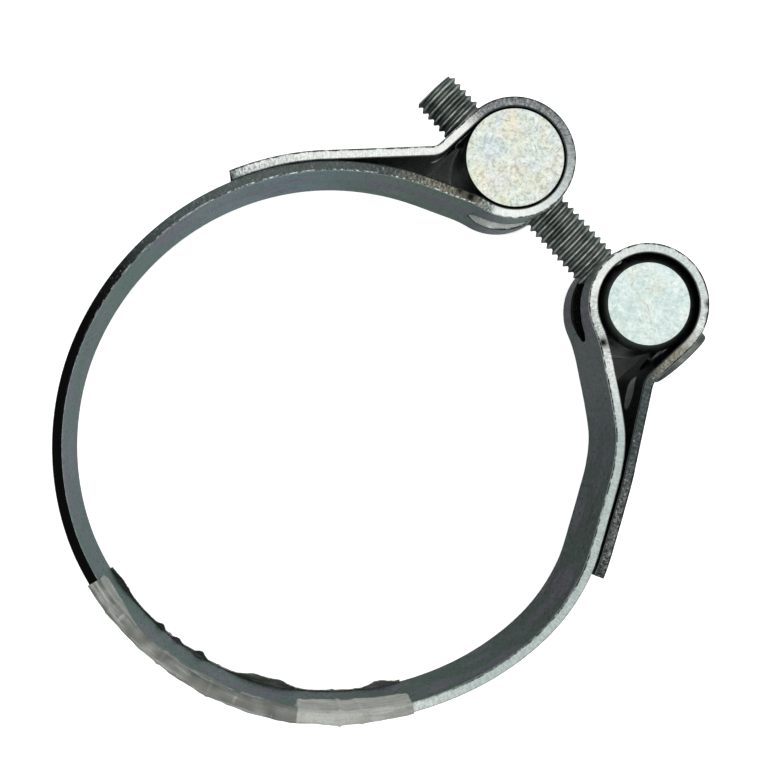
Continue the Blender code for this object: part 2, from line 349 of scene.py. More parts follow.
# %% From a tree to a plain mesh
def as_mesh(thing):
    """An object's mesh with its modifiers applied, and with its place kept in the mesh."""
    bpy.context.view_layer.update()
    graph = bpy.context.evaluated_depsgraph_get()
    mesh = bpy.data.meshes.new_from_object(thing.evaluated_get(graph), depsgraph=graph)
    mesh.transform(thing.matrix_world)
    return mesh


def from_bmesh(name, shape):
    """A mesh made from a bmesh, which is freed."""
    mesh = bpy.data.meshes.new(name)
    shape.to_mesh(mesh)
    shape.free()
    return mesh


def linked(name, mesh):
    """A new object for a mesh, in the scene."""
    mesh.name = name
    thing = bpy.data.objects.new(name, mesh)
    bpy.context.scene.collection.objects.link(thing)
    return thing


def plain_mesh(name, source, tree, values):
    """Runs a tree on an object and keeps the result as a new object with a plain mesh."""
    step = source.modifiers.new(tree.name, "NODES")
    step.node_group = tree
    for item in tree.interface.items_tree:
        if item.in_out == "INPUT" and item.name in values:
            step[item.identifier] = values[item.name]
    mesh = as_mesh(source)
    bpy.data.objects.remove(source, do_unlink=True)
    return linked(name, mesh)


def smoothed(mesh, degrees):
    """Shades a mesh smooth, apart from edges that are sharper than this."""
    mesh.shade_smooth()
    mesh.set_sharp_from_angle(angle=math.radians(degrees))


def report(piece):
    """Prints a piece's size."""
    triangles = sum(len(face.vertices) - 2 for face in piece.data.polygons)
    print(f"{piece.name}: {triangles} triangles")


print("mesh helpers: as_mesh, from_bmesh, linked, plain_mesh, smoothed, report")

# %% [markdown]
# ## Bending a flat piece
# Sheet metal and paper are easiest to draw flat: X is the place along the strip, Y the height on it,
# and Z the depth from its middle, positive towards the ring's outside. One tree then bends any flat
# piece along the line. It reads the line at each point's X, moves the point sideways by its depth, and
# keeps the flat place in an attribute that the finishes read, so that no pattern is stretched.

# %% The bending tree
guide_data = bpy.data.curves.new("strip_line", "CURVE")
guide_data.dimensions = "3D"
guide_line = guide_data.splines.new("POLY")
guide_line.points.add(len(LINE) - 1)
for knot, point in zip(guide_line.points, LINE):
    knot.co = (point.x, point.y, 0.0, 1.0)
guide = bpy.data.objects.new("strip_line", guide_data)
bpy.context.scene.collection.objects.link(guide)


def bending_tree(name, material):
    """The tree that bends a flat piece along the line."""
    tree, start, result = shape_tree(name, [("Line", "NodeSocketObject")])
    place = put(tree, "GeometryNodeInputPosition").outputs[0]
    kept = kept_value(tree, start.outputs["Geometry"], "flat", place, "FLOAT_VECTOR")
    flat = put(tree, "ShaderNodeSeparateXYZ", {0: place}).outputs
    sockets = {"Object": start.outputs["Line"]}
    line = put(tree, "GeometryNodeObjectInfo", sockets, transform_space="RELATIVE")
    read = put(
        tree,
        "GeometryNodeSampleCurve",
        {"Curves": line.outputs["Geometry"], "Length": flat["X"]},
        mode="LENGTH",
        use_all_curves=True,
    )
    side = vector_of(tree, "CROSS_PRODUCT", read.outputs["Tangent"], (0.0, 0.0, 1.0))
    side = vector_of(tree, "NORMALIZE", side)
    shift = put(tree, "ShaderNodeVectorMath", {0: side, "Scale": flat["Z"]}, operation="SCALE")
    lift = put(tree, "ShaderNodeCombineXYZ", {"Z": flat["Y"]}).outputs[0]
    moved = vector_of(tree, "ADD", read.outputs["Position"], shift.outputs[0])
    moved = vector_of(tree, "ADD", moved, lift)
    bent = put(tree, "GeometryNodeSetPosition", {"Geometry": kept, "Position": moved})
    end_tree(tree, bent.outputs[0], material, result)
    return tree


print("bending tree ready for a line of", round(LENGTH / MM, 1), "mm")

# %% [markdown]
# ## The strip's finish
# The real strip is bright zinc over rolled steel: a cool grey with cloudy green and violet tints, faint
# rolling lines along it and a few scratches across. Its edges were sheared and look quite different
# from place to place, gritty where the shear tore the metal, and their colour also holds painted
# reflection: black round the left of the ring and white near the eyes. The faces hold painted shade in
# the hollows and painted highlights by the tails' bends. So the strip carries its edge colour as an
# attribute, and the tree adds the grain, with painted glints and painted shade along the corner towards the
# pipe.


# %% Helpers for finishes
def finish(name, metallic):
    """A new material, as (material, its tree, its Principled shader)."""
    material = bpy.data.materials.new(name)
    material.use_nodes = True
    tree = material.node_tree
    shader = tree.nodes["Principled BSDF"]
    shader.inputs["Metallic"].default_value = metallic
    return material, tree, shader


def stored(tree, name, output="Fac"):
    """An attribute that the piece carries."""
    return put(tree, "ShaderNodeAttribute", attribute_name=name).outputs[output]


def stretched(tree, vector, scale):
    """Coordinates multiplied by a scale on each axis."""
    return vector_of(tree, "MULTIPLY", vector, scale)


def cloud(tree, vector, scale, detail=3.0, roughness=0.55):
    """A noise texture's value, from 0 to 1."""
    sockets = {"Vector": vector, "Scale": scale, "Detail": detail, "Roughness": roughness}
    return put(tree, "ShaderNodeTexNoise", sockets, noise_dimensions="3D").outputs[0]


def streaks(tree, vector, scale, detail=3.0, roughness=0.55):
    """A noise texture's value on stretched coordinates."""
    return cloud(tree, stretched(tree, vector, scale), 1.0, detail, roughness)


print("pattern helpers: stored, stretched, cloud, streaks")


# %% Helpers for colours and bumps
def ramp(tree, value, low, high, to_low=0.0, to_high=1.0):
    """A value mapped smoothly from one range to another, and held at its ends."""
    sockets = {"Value": value, "From Min": low, "From Max": high}
    sockets |= {"To Min": to_low, "To Max": to_high}
    return put(tree, "ShaderNodeMapRange", sockets, interpolation_type="SMOOTHSTEP").outputs[0]


def blend_colors(tree, part, first, second):
    """Two colours mixed by a part from 0 to 1."""
    node = put(tree, "ShaderNodeMix", data_type="RGBA")
    for socket, value in zip((node.inputs[0], node.inputs[6], node.inputs[7]), (part, first, second)):
        if isinstance(value, bpy.types.NodeSocket):
            tree.links.new(value, socket)
        else:
            socket.default_value = value if isinstance(value, float) else (*value, 1.0)
    return node.outputs[2]


def tinted(tree, color, tints):
    """A colour with tints over it: (pattern, where it starts, where it is full, strength, colour)."""
    for pattern, start, full, strength, tint in tints:
        color = blend_colors(tree, ramp(tree, pattern, start, full, 0.0, strength), color, tint)
    return color


def surface(tree, shader, color, roughness):
    """Gives a shader its colour and its roughness."""
    tree.links.new(color, shader.inputs["Base Color"])
    tree.links.new(roughness, shader.inputs["Roughness"])


def bump(tree, shader, height, distance, before=None):
    """Adds a bump, on top of an earlier one if there is one."""
    sockets = {"Height": height, "Distance": distance, "Strength": 1.0}
    if before is not None:
        sockets["Normal"] = before
    node = put(tree, "ShaderNodeBump", sockets)
    tree.links.new(node.outputs[0], shader.inputs["Normal"])
    return node.outputs[0]


PER_MM = (1000.0, 1000.0, 1000.0)
print("colour helpers: ramp, blend_colors, tinted, surface, bump")


# %% Zinc on the strip's faces
def strip_walls(tree, at):
    """The faces' colour with its painted reflection, shade and highlights, and its spots and rolling lines.
    """
    clouds = cloud(tree, at, 0.16, 4.0)
    tints = cloud(tree, stretched(tree, at, (0.7, 0.7, 0.7)), 0.20, 2.0)
    spots = cloud(tree, at, 1.6, 4.0, 0.7)
    fine = cloud(tree, at, 5.0, 3.0, 0.7)
    rolling = streaks(tree, at, (0.05, 4.0, 1.0), 3.0, 0.6)
    scratches = streaks(tree, at, (5.0, 0.12, 0.3), 2.0, 0.4)
    # The stored face colour is partly painted reflection and painted shade.
    color = tinted(
        tree,
        stored(tree, "wall_paint_and_reflection", "Color"),
        (
            (clouds, 0.42, 0.64, 0.45, (0.38, 0.52, 0.47)),
            (clouds, 0.48, 0.32, 0.45, (0.62, 0.66, 0.70)),
            (tints, 0.50, 0.62, 0.75, (0.60, 0.52, 0.66)),
            (spots, 0.48, 0.68, 0.55, (0.70, 0.76, 0.74)),
            (spots, 0.48, 0.32, 0.60, (0.20, 0.23, 0.22)),
            (fine, 0.50, 0.38, 0.55, (0.16, 0.19, 0.18)),
            (fine, 0.52, 0.64, 0.40, (0.74, 0.78, 0.77)),
            (rolling, 0.75, 0.30, 0.25, (0.24, 0.27, 0.27)),
            (scratches, 0.70, 0.76, 0.50, (0.18, 0.20, 0.20)),
            (stored(tree, "slot_line"), 0.40, 0.80, 1.0, (0.02, 0.022, 0.02)),
        ),
    )
    # Painted shade: the outer face is made near black in the hollows between each tail and the ring and
    # inside the eyes.
    color = blend_colors(tree, stored(tree, "painted_hollow_shade"), color, (0.014, 0.020, 0.017))
    # Painted highlight: patches by the tails' bends, with some rolling lines over them, go near white.
    painted_glint = plus(tree, stored(tree, "painted_glint"), times(tree, rolling, 0.5))
    color = blend_colors(tree, ramp(tree, painted_glint, 0.55, 0.75), color, (0.98, 1.0, 0.98))
    return color, spots, rolling


# %% Zinc on its cut edges
def strip_edges(tree, at, depth, torn):
    """The colour of the strip's cut edges, with painted reflection, painted glints and painted shade."""
    grit = stored(tree, "edge_grit")
    # The corner value places painted glints, above 0, and painted shade, below 0.
    corner = stored(tree, "corner")
    across = streaks(tree, at, (7.0, 2.0, 0.6), 2.0, 0.5)
    dark = times(tree, ramp(tree, torn, 0.56, 0.42), grit)
    grey = times(tree, ramp(tree, across, 0.60, 0.35), times(tree, grit, 0.7))
    light = times(tree, ramp(tree, torn, 0.58, 0.70), grit)
    # The stored edge colour is partly painted reflection.
    edge = blend_colors(tree, dark, stored(tree, "edge_paint_and_reflection", "Color"), (0.012, 0.013, 0.013))
    edge = blend_colors(tree, grey, edge, (0.05, 0.055, 0.055))
    edge = blend_colors(tree, light, edge, (0.92, 0.94, 0.92))

    dashes = streaks(tree, at, (1.3, 0.6, 1.6), 4.0, 0.65)
    by_corner = ramp(tree, plus(tree, depth, times(tree, dashes, 0.35)), -0.16, -0.30)
    patches = ramp(tree, streaks(tree, at, (0.22, 1.0, 1.0), 2.0), 0.42, 0.56)
    flecks = ramp(tree, streaks(tree, at, (2.2, 1.0, 2.2), 3.0), 0.46, 0.56)
    # Painted glints and painted shade: white and dark dashes along the corner towards the pipe.
    bright = times(tree, ramp(tree, dashes, 0.46, 0.54), ramp(tree, corner, 0.0, 0.9))
    bright = times(tree, bright, math_of(tree, "MAXIMUM", patches, flecks))
    shade = times(tree, ramp(tree, dashes, 0.66, 0.45), ramp(tree, corner, 0.0, -1.0))
    edge = blend_colors(tree, times(tree, by_corner, bright), edge, (0.95, 0.97, 0.95))
    edge = blend_colors(tree, times(tree, by_corner, shade), edge, (0.02, 0.022, 0.022))
    # Painted shade: the cut edge's outer corner goes near black in the same hollows.
    outer_lip_shade = times(tree, ramp(tree, depth, 0.38, 0.54), stored(tree, "lip"))
    return blend_colors(tree, outer_lip_shade, edge, (0.015, 0.016, 0.016))


# %% The strip's whole finish
def strip_finish():
    """Zinc-plated rolled strip, with its sheared edges."""
    material, tree, shader = finish("zinc_plated_strip", 1.0)
    at = stretched(tree, stored(tree, "flat", "Vector"), PER_MM)
    depth = put(tree, "ShaderNodeSeparateXYZ", {0: at}).outputs["Z"]
    torn = cloud(tree, stretched(tree, at, (2.8, 2.8, 2.0)), 1.0, 5.0, 0.80)
    walls, spots, rolling = strip_walls(tree, at)
    edges = strip_edges(tree, at, depth, torn)
    ragged = plus(tree, stored(tree, "rim"), times(tree, torn, 0.5))
    on_edge = ramp(tree, ragged, 0.62, 0.86)
    color = blend_colors(tree, on_edge, walls, edges)
    rough = ramp(tree, spots, 0.3, 0.75, 0.26, 0.42)
    surface(tree, shader, color, plus(tree, rough, times(tree, on_edge, 0.12)))
    glancing = vector_of(tree, "MULTIPLY", color, (1.3, 1.3, 1.3))
    glancing = vector_of(tree, "ADD", glancing, (0.17, 0.17, 0.17))
    glancing = vector_of(tree, "MINIMUM", glancing, (1.0, 1.0, 1.0))
    tree.links.new(glancing, shader.inputs["Specular Tint"])
    first = bump(tree, shader, rolling, 0.02 * MM)
    second = bump(tree, shader, spots, 0.03 * MM, first)
    bump(tree, shader, times(tree, torn, on_edge), 0.10 * MM, second)
    return material


STRIP_FINISH = strip_finish()
print("finish:", STRIP_FINISH.name)

# %% [markdown]
# ## The strip, cut flat
# A strip leaves the shears flat, with its four bolt slots punched. It is drawn the same way: a fine
# sheet of small faces, those in the slots removed, and the slots' edges drawn onto true round ends.
# Solidify gives it its gauge, and the cut faces all round get rows of points of their own, for their
# rounded corners and their torn grain.

# %% Slots and rows
SLOT_WIDTH = 7.0 * MM
SLOT_PAST_BOLT = 4.5 * MM
SLOT_TO_PIPE_SIDE = 9.6 * MM
SLOTS = (
    (LEFT_BACK - SLOT_PAST_BOLT, LEFT_BACK + SLOT_PAST_BOLT),
    (LEFT_FRONT - SLOT_PAST_BOLT, LEFT_FRONT + SLOT_TO_PIPE_SIDE),
    (RIGHT_FRONT - SLOT_TO_PIPE_SIDE, RIGHT_FRONT + SLOT_PAST_BOLT),
    (RIGHT_BACK - SLOT_PAST_BOLT, RIGHT_BACK + SLOT_PAST_BOLT),
)
COLUMN = 0.40 * MM
MARGIN_ROWS = (0.0, 0.25, 0.7, 1.5)
SIDE_ROWS = 7
SLOT_ROWS = 18


def sheet_rows():
    """The heights of the sheet's rows: closest at its edges, and close across the slots."""
    low = MID_HEIGHT - SLOT_WIDTH / 2
    margin = [row * MM for row in MARGIN_ROWS]
    rows = margin + list(np.linspace(margin[-1], low, SIDE_ROWS + 1)[1:])
    rows += list(np.linspace(low, MID_HEIGHT, SLOT_ROWS // 2 + 1)[1:])
    return rows + [BAND_WIDTH - row for row in rows[-2::-1]]


ROWS = sheet_rows()
print(len(ROWS), "rows on the sheet")


# %% The flat sheet
def from_slot_core(point, slot):
    """The nearest point on a slot's middle line, and the way from there to a point."""
    radius = SLOT_WIDTH / 2
    core = Vector((min(max(point.x, slot[0] + radius), slot[1] - radius), MID_HEIGHT, 0.0))
    return core, point - core


def slot_outline(point, slot):
    """The nearest point on the outline of a slot with round ends."""
    core, away = from_slot_core(point, slot)
    if away.length == 0:
        away = Vector((0.0, 1.0, 0.0))
    return core + away.normalized() * SLOT_WIDTH / 2


def in_slot(point, slot):
    """Whether a point lies in a slot."""
    return from_slot_core(point, slot)[1].length < SLOT_WIDTH / 2


def flat_sheet():
    """The strip as one layer of faces, with its slots open."""
    columns = np.linspace(0.0, LENGTH, round(LENGTH / COLUMN) + 1)
    shape = bmesh.new()
    grid = [[shape.verts.new((x, y, 0.0)) for y in ROWS] for x in columns]
    for left, right in zip(grid, grid[1:]):
        for row in range(len(ROWS) - 1):
            shape.faces.new((left[row], right[row], right[row + 1], left[row + 1]))
    for slot in SLOTS:
        gone = [face for face in shape.faces if in_slot(face.calc_center_median(), slot)]
        bmesh.ops.delete(shape, geom=gone, context="FACES")
        for vert in shape.verts:
            beside = slot[0] - MM < vert.co.x < slot[1] + MM
            between = abs(vert.co.y - MID_HEIGHT) < SLOT_WIDTH
            if beside and between and vert.is_boundary:
                vert.co = slot_outline(vert.co, slot)
    return from_bmesh("strip_flat", shape)


sheet = linked("strip_flat", flat_sheet())
print(len(sheet.data.polygons), "faces in the flat sheet")

# %% [markdown]
# ## Gauge and cut edges
# Solidify turns the sheet into a plate. Its rim is one face high, so the rim's upright edges are cut
# into rows, which are then moved: the outer rows make a small rounded corner, and a little noise along
# the cut gives the uneven line that shears leave.

# %% Plate
RIM_DEPTHS = (-0.49, -0.24, 0.0, 0.24, 0.49)
CORNER_CUT = 0.10 * MM
CUT_WAVE = 0.035 * MM
WAVES_PER_METRE = 900.0


def plate_from(sheet_object):
    """The sheet at its full gauge, with rows of points on its rim, as a bmesh."""
    wall = sheet_object.modifiers.new("gauge", "SOLIDIFY")
    wall.thickness = BAND_THICK
    wall.offset = 0.0
    solid = as_mesh(sheet_object)
    bpy.data.objects.remove(sheet_object, do_unlink=True)
    shape = bmesh.new()
    shape.from_mesh(solid)
    upright = [
        edge for edge in shape.edges if abs(edge.verts[0].co.z - edge.verts[1].co.z) > HALF_THICK
    ]
    bmesh.ops.subdivide_edges(shape, edges=upright, cuts=len(RIM_DEPTHS), use_grid_fill=True)
    return shape


def shape_rim(shape):
    """Spaces the rim's rows, rounds its corners, makes the cut uneven, and gives the rows' points."""
    shape.normal_update()
    rim = {}
    for vert in shape.verts:
        sides = [face.normal.copy() for face in vert.link_faces if abs(face.normal.z) < 0.5]
        if sides:
            rim[vert] = sum(sides, Vector()).normalized()
    step = BAND_THICK / (len(RIM_DEPTHS) + 1)
    inner = set()
    for vert, outward in rim.items():
        index = round((vert.co.z + HALF_THICK) / step)
        corner = index in (0, len(RIM_DEPTHS) + 1)
        place = vert.co * WAVES_PER_METRE
        wave = noise.noise(Vector((place.x, place.y, 0.4 * place.z))) * CUT_WAVE
        fine = noise.noise(Vector((2.7 * place.x, place.y, 1.5 * place.z))) * CUT_WAVE / 2
        if not corner:
            vert.co.z = RIM_DEPTHS[index - 1] * MM
            inner.add(vert)
        vert.co += outward * (wave + fine - CUT_WAVE - (CORNER_CUT if corner else 0.0))
    return inner


plate = plate_from(sheet)
rim_points = shape_rim(plate)
print(len(plate.verts), "points on the plate,", len(rim_points), "of them on the cut edges")

# %% [markdown]
# ## Spot welds
# Each tail is held to the ring by two spot welds. The electrodes leave a shallow round dent with a
# faint lip on the tail's outside, and a weaker one on the ring's inside. On the flat plate both are on
# the same face, so each dent is one push on the points round its middle.

# %% Weld dents
WELD_HEIGHTS = (5.5 * MM, 14.5 * MM)
WELD_R = 2.3 * MM
TAIL_DENT = 0.16 * MM
RING_DENT = 0.09 * MM
LIP_HEIGHT = 0.22
LIP_AT = 1.12
LIP_WIDTH = 0.16


def weld_places():
    """(place along the strip, height, depth of the dent) for each dent."""
    left_tail = (LEFT_TAIL[0] + LEFT_TAIL[1]) / 2
    right_tail = (RIGHT_TAIL[0] + RIGHT_TAIL[1]) / 2
    left_arc = math.radians(LEFT_TAIL[1] - left_tail) * (ring_radius(left_tail) + BAND_THICK)
    right_arc = math.radians(right_tail - RIGHT_TAIL[1]) * (ring_radius(right_tail) + BAND_THICK)
    for height in WELD_HEIGHTS:
        yield left_arc, height, TAIL_DENT
        yield LENGTH - right_arc, height, TAIL_DENT
        yield place_at(left_tail), height, RING_DENT
        yield place_at(right_tail), height, RING_DENT


def press_dents(shape):
    """Presses the dents into the plate's inner face."""
    dents = list(weld_places())
    for vert in shape.verts:
        if vert.co.z > -0.9 * HALF_THICK:
            continue
        for along, height, depth in dents:
            reach = math.hypot(vert.co.x - along, vert.co.y - height) / WELD_R
            if reach < 1.5:
                dish = max(0.0, 1.0 - reach**4)
                lip = LIP_HEIGHT * math.exp(-(((reach - LIP_AT) / LIP_WIDTH) ** 2))
                vert.co.z += depth * (dish - lip)
    return len(dents)


print(press_dents(plate), "weld dents")

# %% [markdown]
# ## The colours of the cut edges
# No two lengths of the real cut look alike, so its colour is a list along the strip, from one tail's
# end to the other's. Each entry is a place, the colour of the cut there and how gritty it is, and
# between entries the colour changes evenly. The colours are partly painted reflection: the cut is black
# round the left of the ring and white near the eyes. The slots' cut edges have one colour each, the
# white and the black one being painted reflection, and a few dark nicks lie where the strip was knocked.

# %% Edge colours
# Painted reflection: the blackest and the whitest colour here stand for dark and bright surroundings seen in
# the cut edges.
BLACK_REFLECTION = (0.004, 0.004, 0.004)
DARK_ZINC = (0.09, 0.115, 0.115)
GREY_ZINC = (0.38, 0.39, 0.40)
PALE_ZINC = (0.56, 0.63, 0.61)
BRIGHT_ZINC = (0.80, 0.85, 0.83)
WHITE_REFLECTION = (0.97, 0.98, 0.96)
BROWN_ZINC = (0.36, 0.34, 0.28)
OLIVE_ZINC = (0.11, 0.13, 0.125)
TAIL_ZINC = (0.22, 0.23, 0.23)


def round_eye(eye, degrees):
    """The place along the strip on the side of an eye that faces this bearing."""
    return place_of(eye + polar(EYE_R, degrees))


# The cut's colour round the strip is partly painted reflection: black round the left of the ring, white near
# the eyes.
EDGE_COLORS_AND_REFLECTIONS = (
    (0.0, DARK_ZINC, 0.9),
    (0.6 * MM, PALE_ZINC, 0.7),
    (1.6 * MM, WHITE_REFLECTION, 0.6),
    (5.0 * MM, WHITE_REFLECTION, 0.45),
    (10.0 * MM, WHITE_REFLECTION, 0.25),
    (LEFT_BACK - 2.0 * MM, WHITE_REFLECTION, 0.12),
    (round_eye(LEFT_EYE, 128.0), GREY_ZINC, 0.6),
    (round_eye(LEFT_EYE, 80.0), GREY_ZINC, 0.6),
    (round_eye(LEFT_EYE, 30.0), GREY_ZINC, 0.55),
    (round_eye(LEFT_EYE, 5.0), (0.44, 0.49, 0.48), 0.35),
    (round_eye(LEFT_EYE, -50.0), BRIGHT_ZINC, 0.15),
    (round_eye(LEFT_EYE, -80.0), WHITE_REFLECTION, 0.1),
    (round_eye(LEFT_EYE, -110.0), WHITE_REFLECTION, 0.15),
    (round_eye(LEFT_EYE, -116.0), PALE_ZINC, 0.8),
    (place_at(60.0), BROWN_ZINC, 0.9),
    (place_at(68.0), BROWN_ZINC, 0.85),
    (place_at(80.0), OLIVE_ZINC, 0.6),
    (place_at(92.0), OLIVE_ZINC, 0.3),
    (place_at(112.0), OLIVE_ZINC, 0.25),
    (place_at(128.0), DARK_ZINC, 0.45),
    (place_at(142.0), BLACK_REFLECTION, 0.35),
    (place_at(152.0), BLACK_REFLECTION, 0.0),
    (place_at(212.0), BLACK_REFLECTION, 0.0),
    (place_at(284.0), BRIGHT_ZINC, 0.3),
    (place_at(300.0), PALE_ZINC, 0.2),
    (place_at(330.0), PALE_ZINC, 0.25),
    (place_at(362.0), PALE_ZINC, 0.15),
    (place_at(371.0), BRIGHT_ZINC, 0.2),
    (place_at(376.0), WHITE_REFLECTION, 0.35),
    (round_eye(RIGHT_EYE, 200.0), BRIGHT_ZINC, 0.5),
    (round_eye(RIGHT_EYE, 160.0), WHITE_REFLECTION, 0.15),
    (round_eye(RIGHT_EYE, 90.0), BRIGHT_ZINC, 0.2),
    (round_eye(RIGHT_EYE, 0.0), BRIGHT_ZINC, 0.25),
    (round_eye(RIGHT_EYE, -25.0), WHITE_REFLECTION, 0.3),
    (RIGHT_BACK + 1.0 * MM, BROWN_ZINC, 0.4),
    (RIGHT_BACK + 3.5 * MM, BROWN_ZINC, 0.6),
    (RIGHT_BACK + 6.5 * MM, DARK_ZINC, 0.5),
    (LENGTH - 16.0 * MM, DARK_ZINC, 0.6),
    (LENGTH - 8.0 * MM, TAIL_ZINC, 0.9),
    (LENGTH - 3.0 * MM, TAIL_ZINC, 1.0),
    (LENGTH, DARK_ZINC, 1.0),
)
# The slots' cut edges: the white one and the black one are painted reflection.
SLOT_COLORS_AND_REFLECTIONS = (DARK_ZINC, WHITE_REFLECTION, BLACK_REFLECTION, DARK_ZINC)
SLOT_GRIT = 0.15
# Each nick: its place along the strip, its depth from the strip's middle, and its reach.
NICKS = (
    (round_eye(RIGHT_EYE, 0.0), -0.5 * MM, 0.55 * MM),
    (round_eye(RIGHT_EYE, -12.0), -0.6 * MM, 0.45 * MM),
    (round_eye(RIGHT_EYE, 222.0), -0.1 * MM, 0.75 * MM),
    (place_at(62.0), 0.1 * MM, 0.9 * MM),
    (place_at(64.5), 0.3 * MM, 0.6 * MM),
)
print(len(EDGE_COLORS_AND_REFLECTIONS), "edge colours and", len(NICKS), "nicks")

# %% [markdown]
# ## The colours of the faces
# The colour of the faces changes round the ring: bluer in some places, greener in others, and darker
# round the lower right; this is partly the zinc's own tint and partly painted reflection and painted
# shade. The tables after it say where the outer face is painted dark as shade, between each tail and
# the ring and inside the eyes; where the sharp corner towards the pipe carries painted glints, above 0,
# or painted shade, below 0; and where painted highlights lie by the tails' bends. All of them are
# stored on the plate's points, so they bend with it.

# %% Face colours
# Partly painted reflection and painted shade: lighter towards the top of the ring, darker round the lower
# right.
WALL_COLORS_AND_REFLECTIONS = (
    (0.0, (0.50, 0.55, 0.55)),
    (place_at(58.5), (0.50, 0.60, 0.55)),
    (place_at(75.0), (0.54, 0.64, 0.59)),
    (place_at(85.0), (0.50, 0.60, 0.62)),
    (place_at(98.0), (0.56, 0.68, 0.80)),
    (place_at(115.0), (0.62, 0.69, 0.79)),
    (place_at(140.0), (0.50, 0.62, 0.58)),
    (place_at(168.0), (0.50, 0.62, 0.60)),
    (place_at(181.0), (0.56, 0.59, 0.66)),
    (place_at(200.0), (0.44, 0.54, 0.53)),
    (place_at(285.0), (0.37, 0.45, 0.42)),
    (place_at(305.0), (0.37, 0.45, 0.42)),
    (place_at(330.0), (0.33, 0.35, 0.355)),
    (place_at(350.0), (0.34, 0.38, 0.375)),
    (place_at(362.0), (0.42, 0.45, 0.46)),
    (place_at(372.0), (0.60, 0.62, 0.65)),
    (LENGTH, (0.50, 0.52, 0.52)),
)
LEFT_TOUCH = place_at(LEFT_TAIL[0] + 6.0)
RIGHT_TOUCH = place_at(RIGHT_TAIL[0] - 6.0)
# Painted shade: how dark the outer face is made in the hollows, between each tail and the ring and inside
# the eyes.
HOLLOW_SHADE = (
    (0.0, 0.2),
    (8.0 * MM, 0.9),
    (LEFT_TOUCH - 8.0 * MM, 0.95),
    (LEFT_TOUCH, 0.2),
    (LEFT_TOUCH + 4.0 * MM, 0.0),
    (RIGHT_TOUCH - 4.0 * MM, 0.0),
    (RIGHT_TOUCH, 0.2),
    (RIGHT_TOUCH + 8.0 * MM, 0.95),
    (LENGTH - 8.0 * MM, 0.9),
    (LENGTH, 0.2),
)
# Painted glints on the corner towards the pipe above 0, painted shade below 0.
CORNER_GLINT_AND_SHADE = (
    (0.0, -1.0),
    (round_eye(LEFT_EYE, -90.0), -0.8),
    (place_at(58.5), 0.0),
    (place_at(61.0), 0.9),
    (place_at(108.0), 0.9),
    (place_at(118.0), 0.5),
    (place_at(146.0), 0.4),
    (place_at(158.0), 0.15),
    (place_at(180.0), 0.0),
    (place_at(284.0), -0.2),
    (place_at(300.0), -0.8),
    (place_at(340.0), -0.9),
    (LENGTH, -1.0),
)
# Painted highlights by the tails' bends.
# Each patch: its place along the strip, its height, and how far it reaches each way.
GLINT_PATCHES = (
    (LEFT_BACK - FLAT_RUN + 1.0 * MM, 13.5 * MM, 1.6 * MM, 1.5 * MM),
    (RIGHT_BACK + FLAT_RUN + 1.6 * MM, 12.0 * MM, 2.2 * MM, 2.6 * MM),
)
print(len(WALL_COLORS_AND_REFLECTIONS), "face colours")


# %% Paint at each place
def along_strip(table, along, entry=1):
    """A table's numbers, or colours, at each point's place along the strip."""
    places = [row[0] for row in table]
    values = np.array([row[entry] for row in table])
    if values.ndim == 1:
        return np.interp(along, places, values)
    return np.stack([np.interp(along, places, part) for part in values.T], axis=1)


def on_slot_line(vert):
    """Whether a point lies on a slot's edge, where the strip's face ends."""
    cut = any(abs(face.normal.z) < 0.5 for face in vert.link_faces)
    in_middle = abs(vert.co.y - MID_HEIGHT) < SLOT_WIDTH and MM < vert.co.x < LENGTH - MM
    return cut and in_middle and abs(vert.co.z) > 0.4 * MM


def edge_paint_and_reflection(along, height, depth):
    """The colour of the cut edges, partly painted reflection, and their grit, as arrays."""
    color = along_strip(EDGE_COLORS_AND_REFLECTIONS, along)
    grit = along_strip(EDGE_COLORS_AND_REFLECTIONS, along, 2)
    for slot, slot_color in zip(SLOTS, SLOT_COLORS_AND_REFLECTIONS):
        within = (along > slot[0] - MM) & (along < slot[1] + MM)
        within &= np.abs(height - MID_HEIGHT) < SLOT_WIDTH * 0.6
        color[within] = slot_color
        grit[within] = SLOT_GRIT
    for nick_at, nick_depth, reach in NICKS:
        gap = np.hypot(along - nick_at, depth - nick_depth) / reach
        part = np.clip(1.4 - gap, 0.0, 1.0)
        color = color * (1 - part[:, None]) + 0.01 * part[:, None]
        grit = grit * (1 - part)
    return color, grit


def glint_patches(along, height, depth):
    """How strongly the outer face is painted with highlights, as an array."""
    painted_glint = np.zeros(len(along))
    for middle, high, half_long, half_high in GLINT_PATCHES:
        reach = np.hypot((along - middle) / half_long, (height - high) / half_high)
        painted_glint = np.maximum(painted_glint, np.clip(1.3 - reach, 0.0, 1.0) * (depth > 0.4 * MM))
    return painted_glint


back_color = along_strip(EDGE_COLORS_AND_REFLECTIONS, np.array([place_at(180.0)]))[0]
print("edge colour at the ring's back:", [round(float(part), 3) for part in back_color])


# %% Paint, stored on the plate
def store(mesh, name, values):
    """Stores one value, or one colour, per point."""
    kind, field = "FLOAT", "value"
    if values.ndim == 2:
        kind, field = "FLOAT_COLOR", "color"
        values = np.concatenate([values, np.ones((len(values), 1))], axis=1)
    layer = mesh.attributes.new(name, kind, "POINT")
    layer.data.foreach_set(field, np.ascontiguousarray(values, np.float32).ravel())


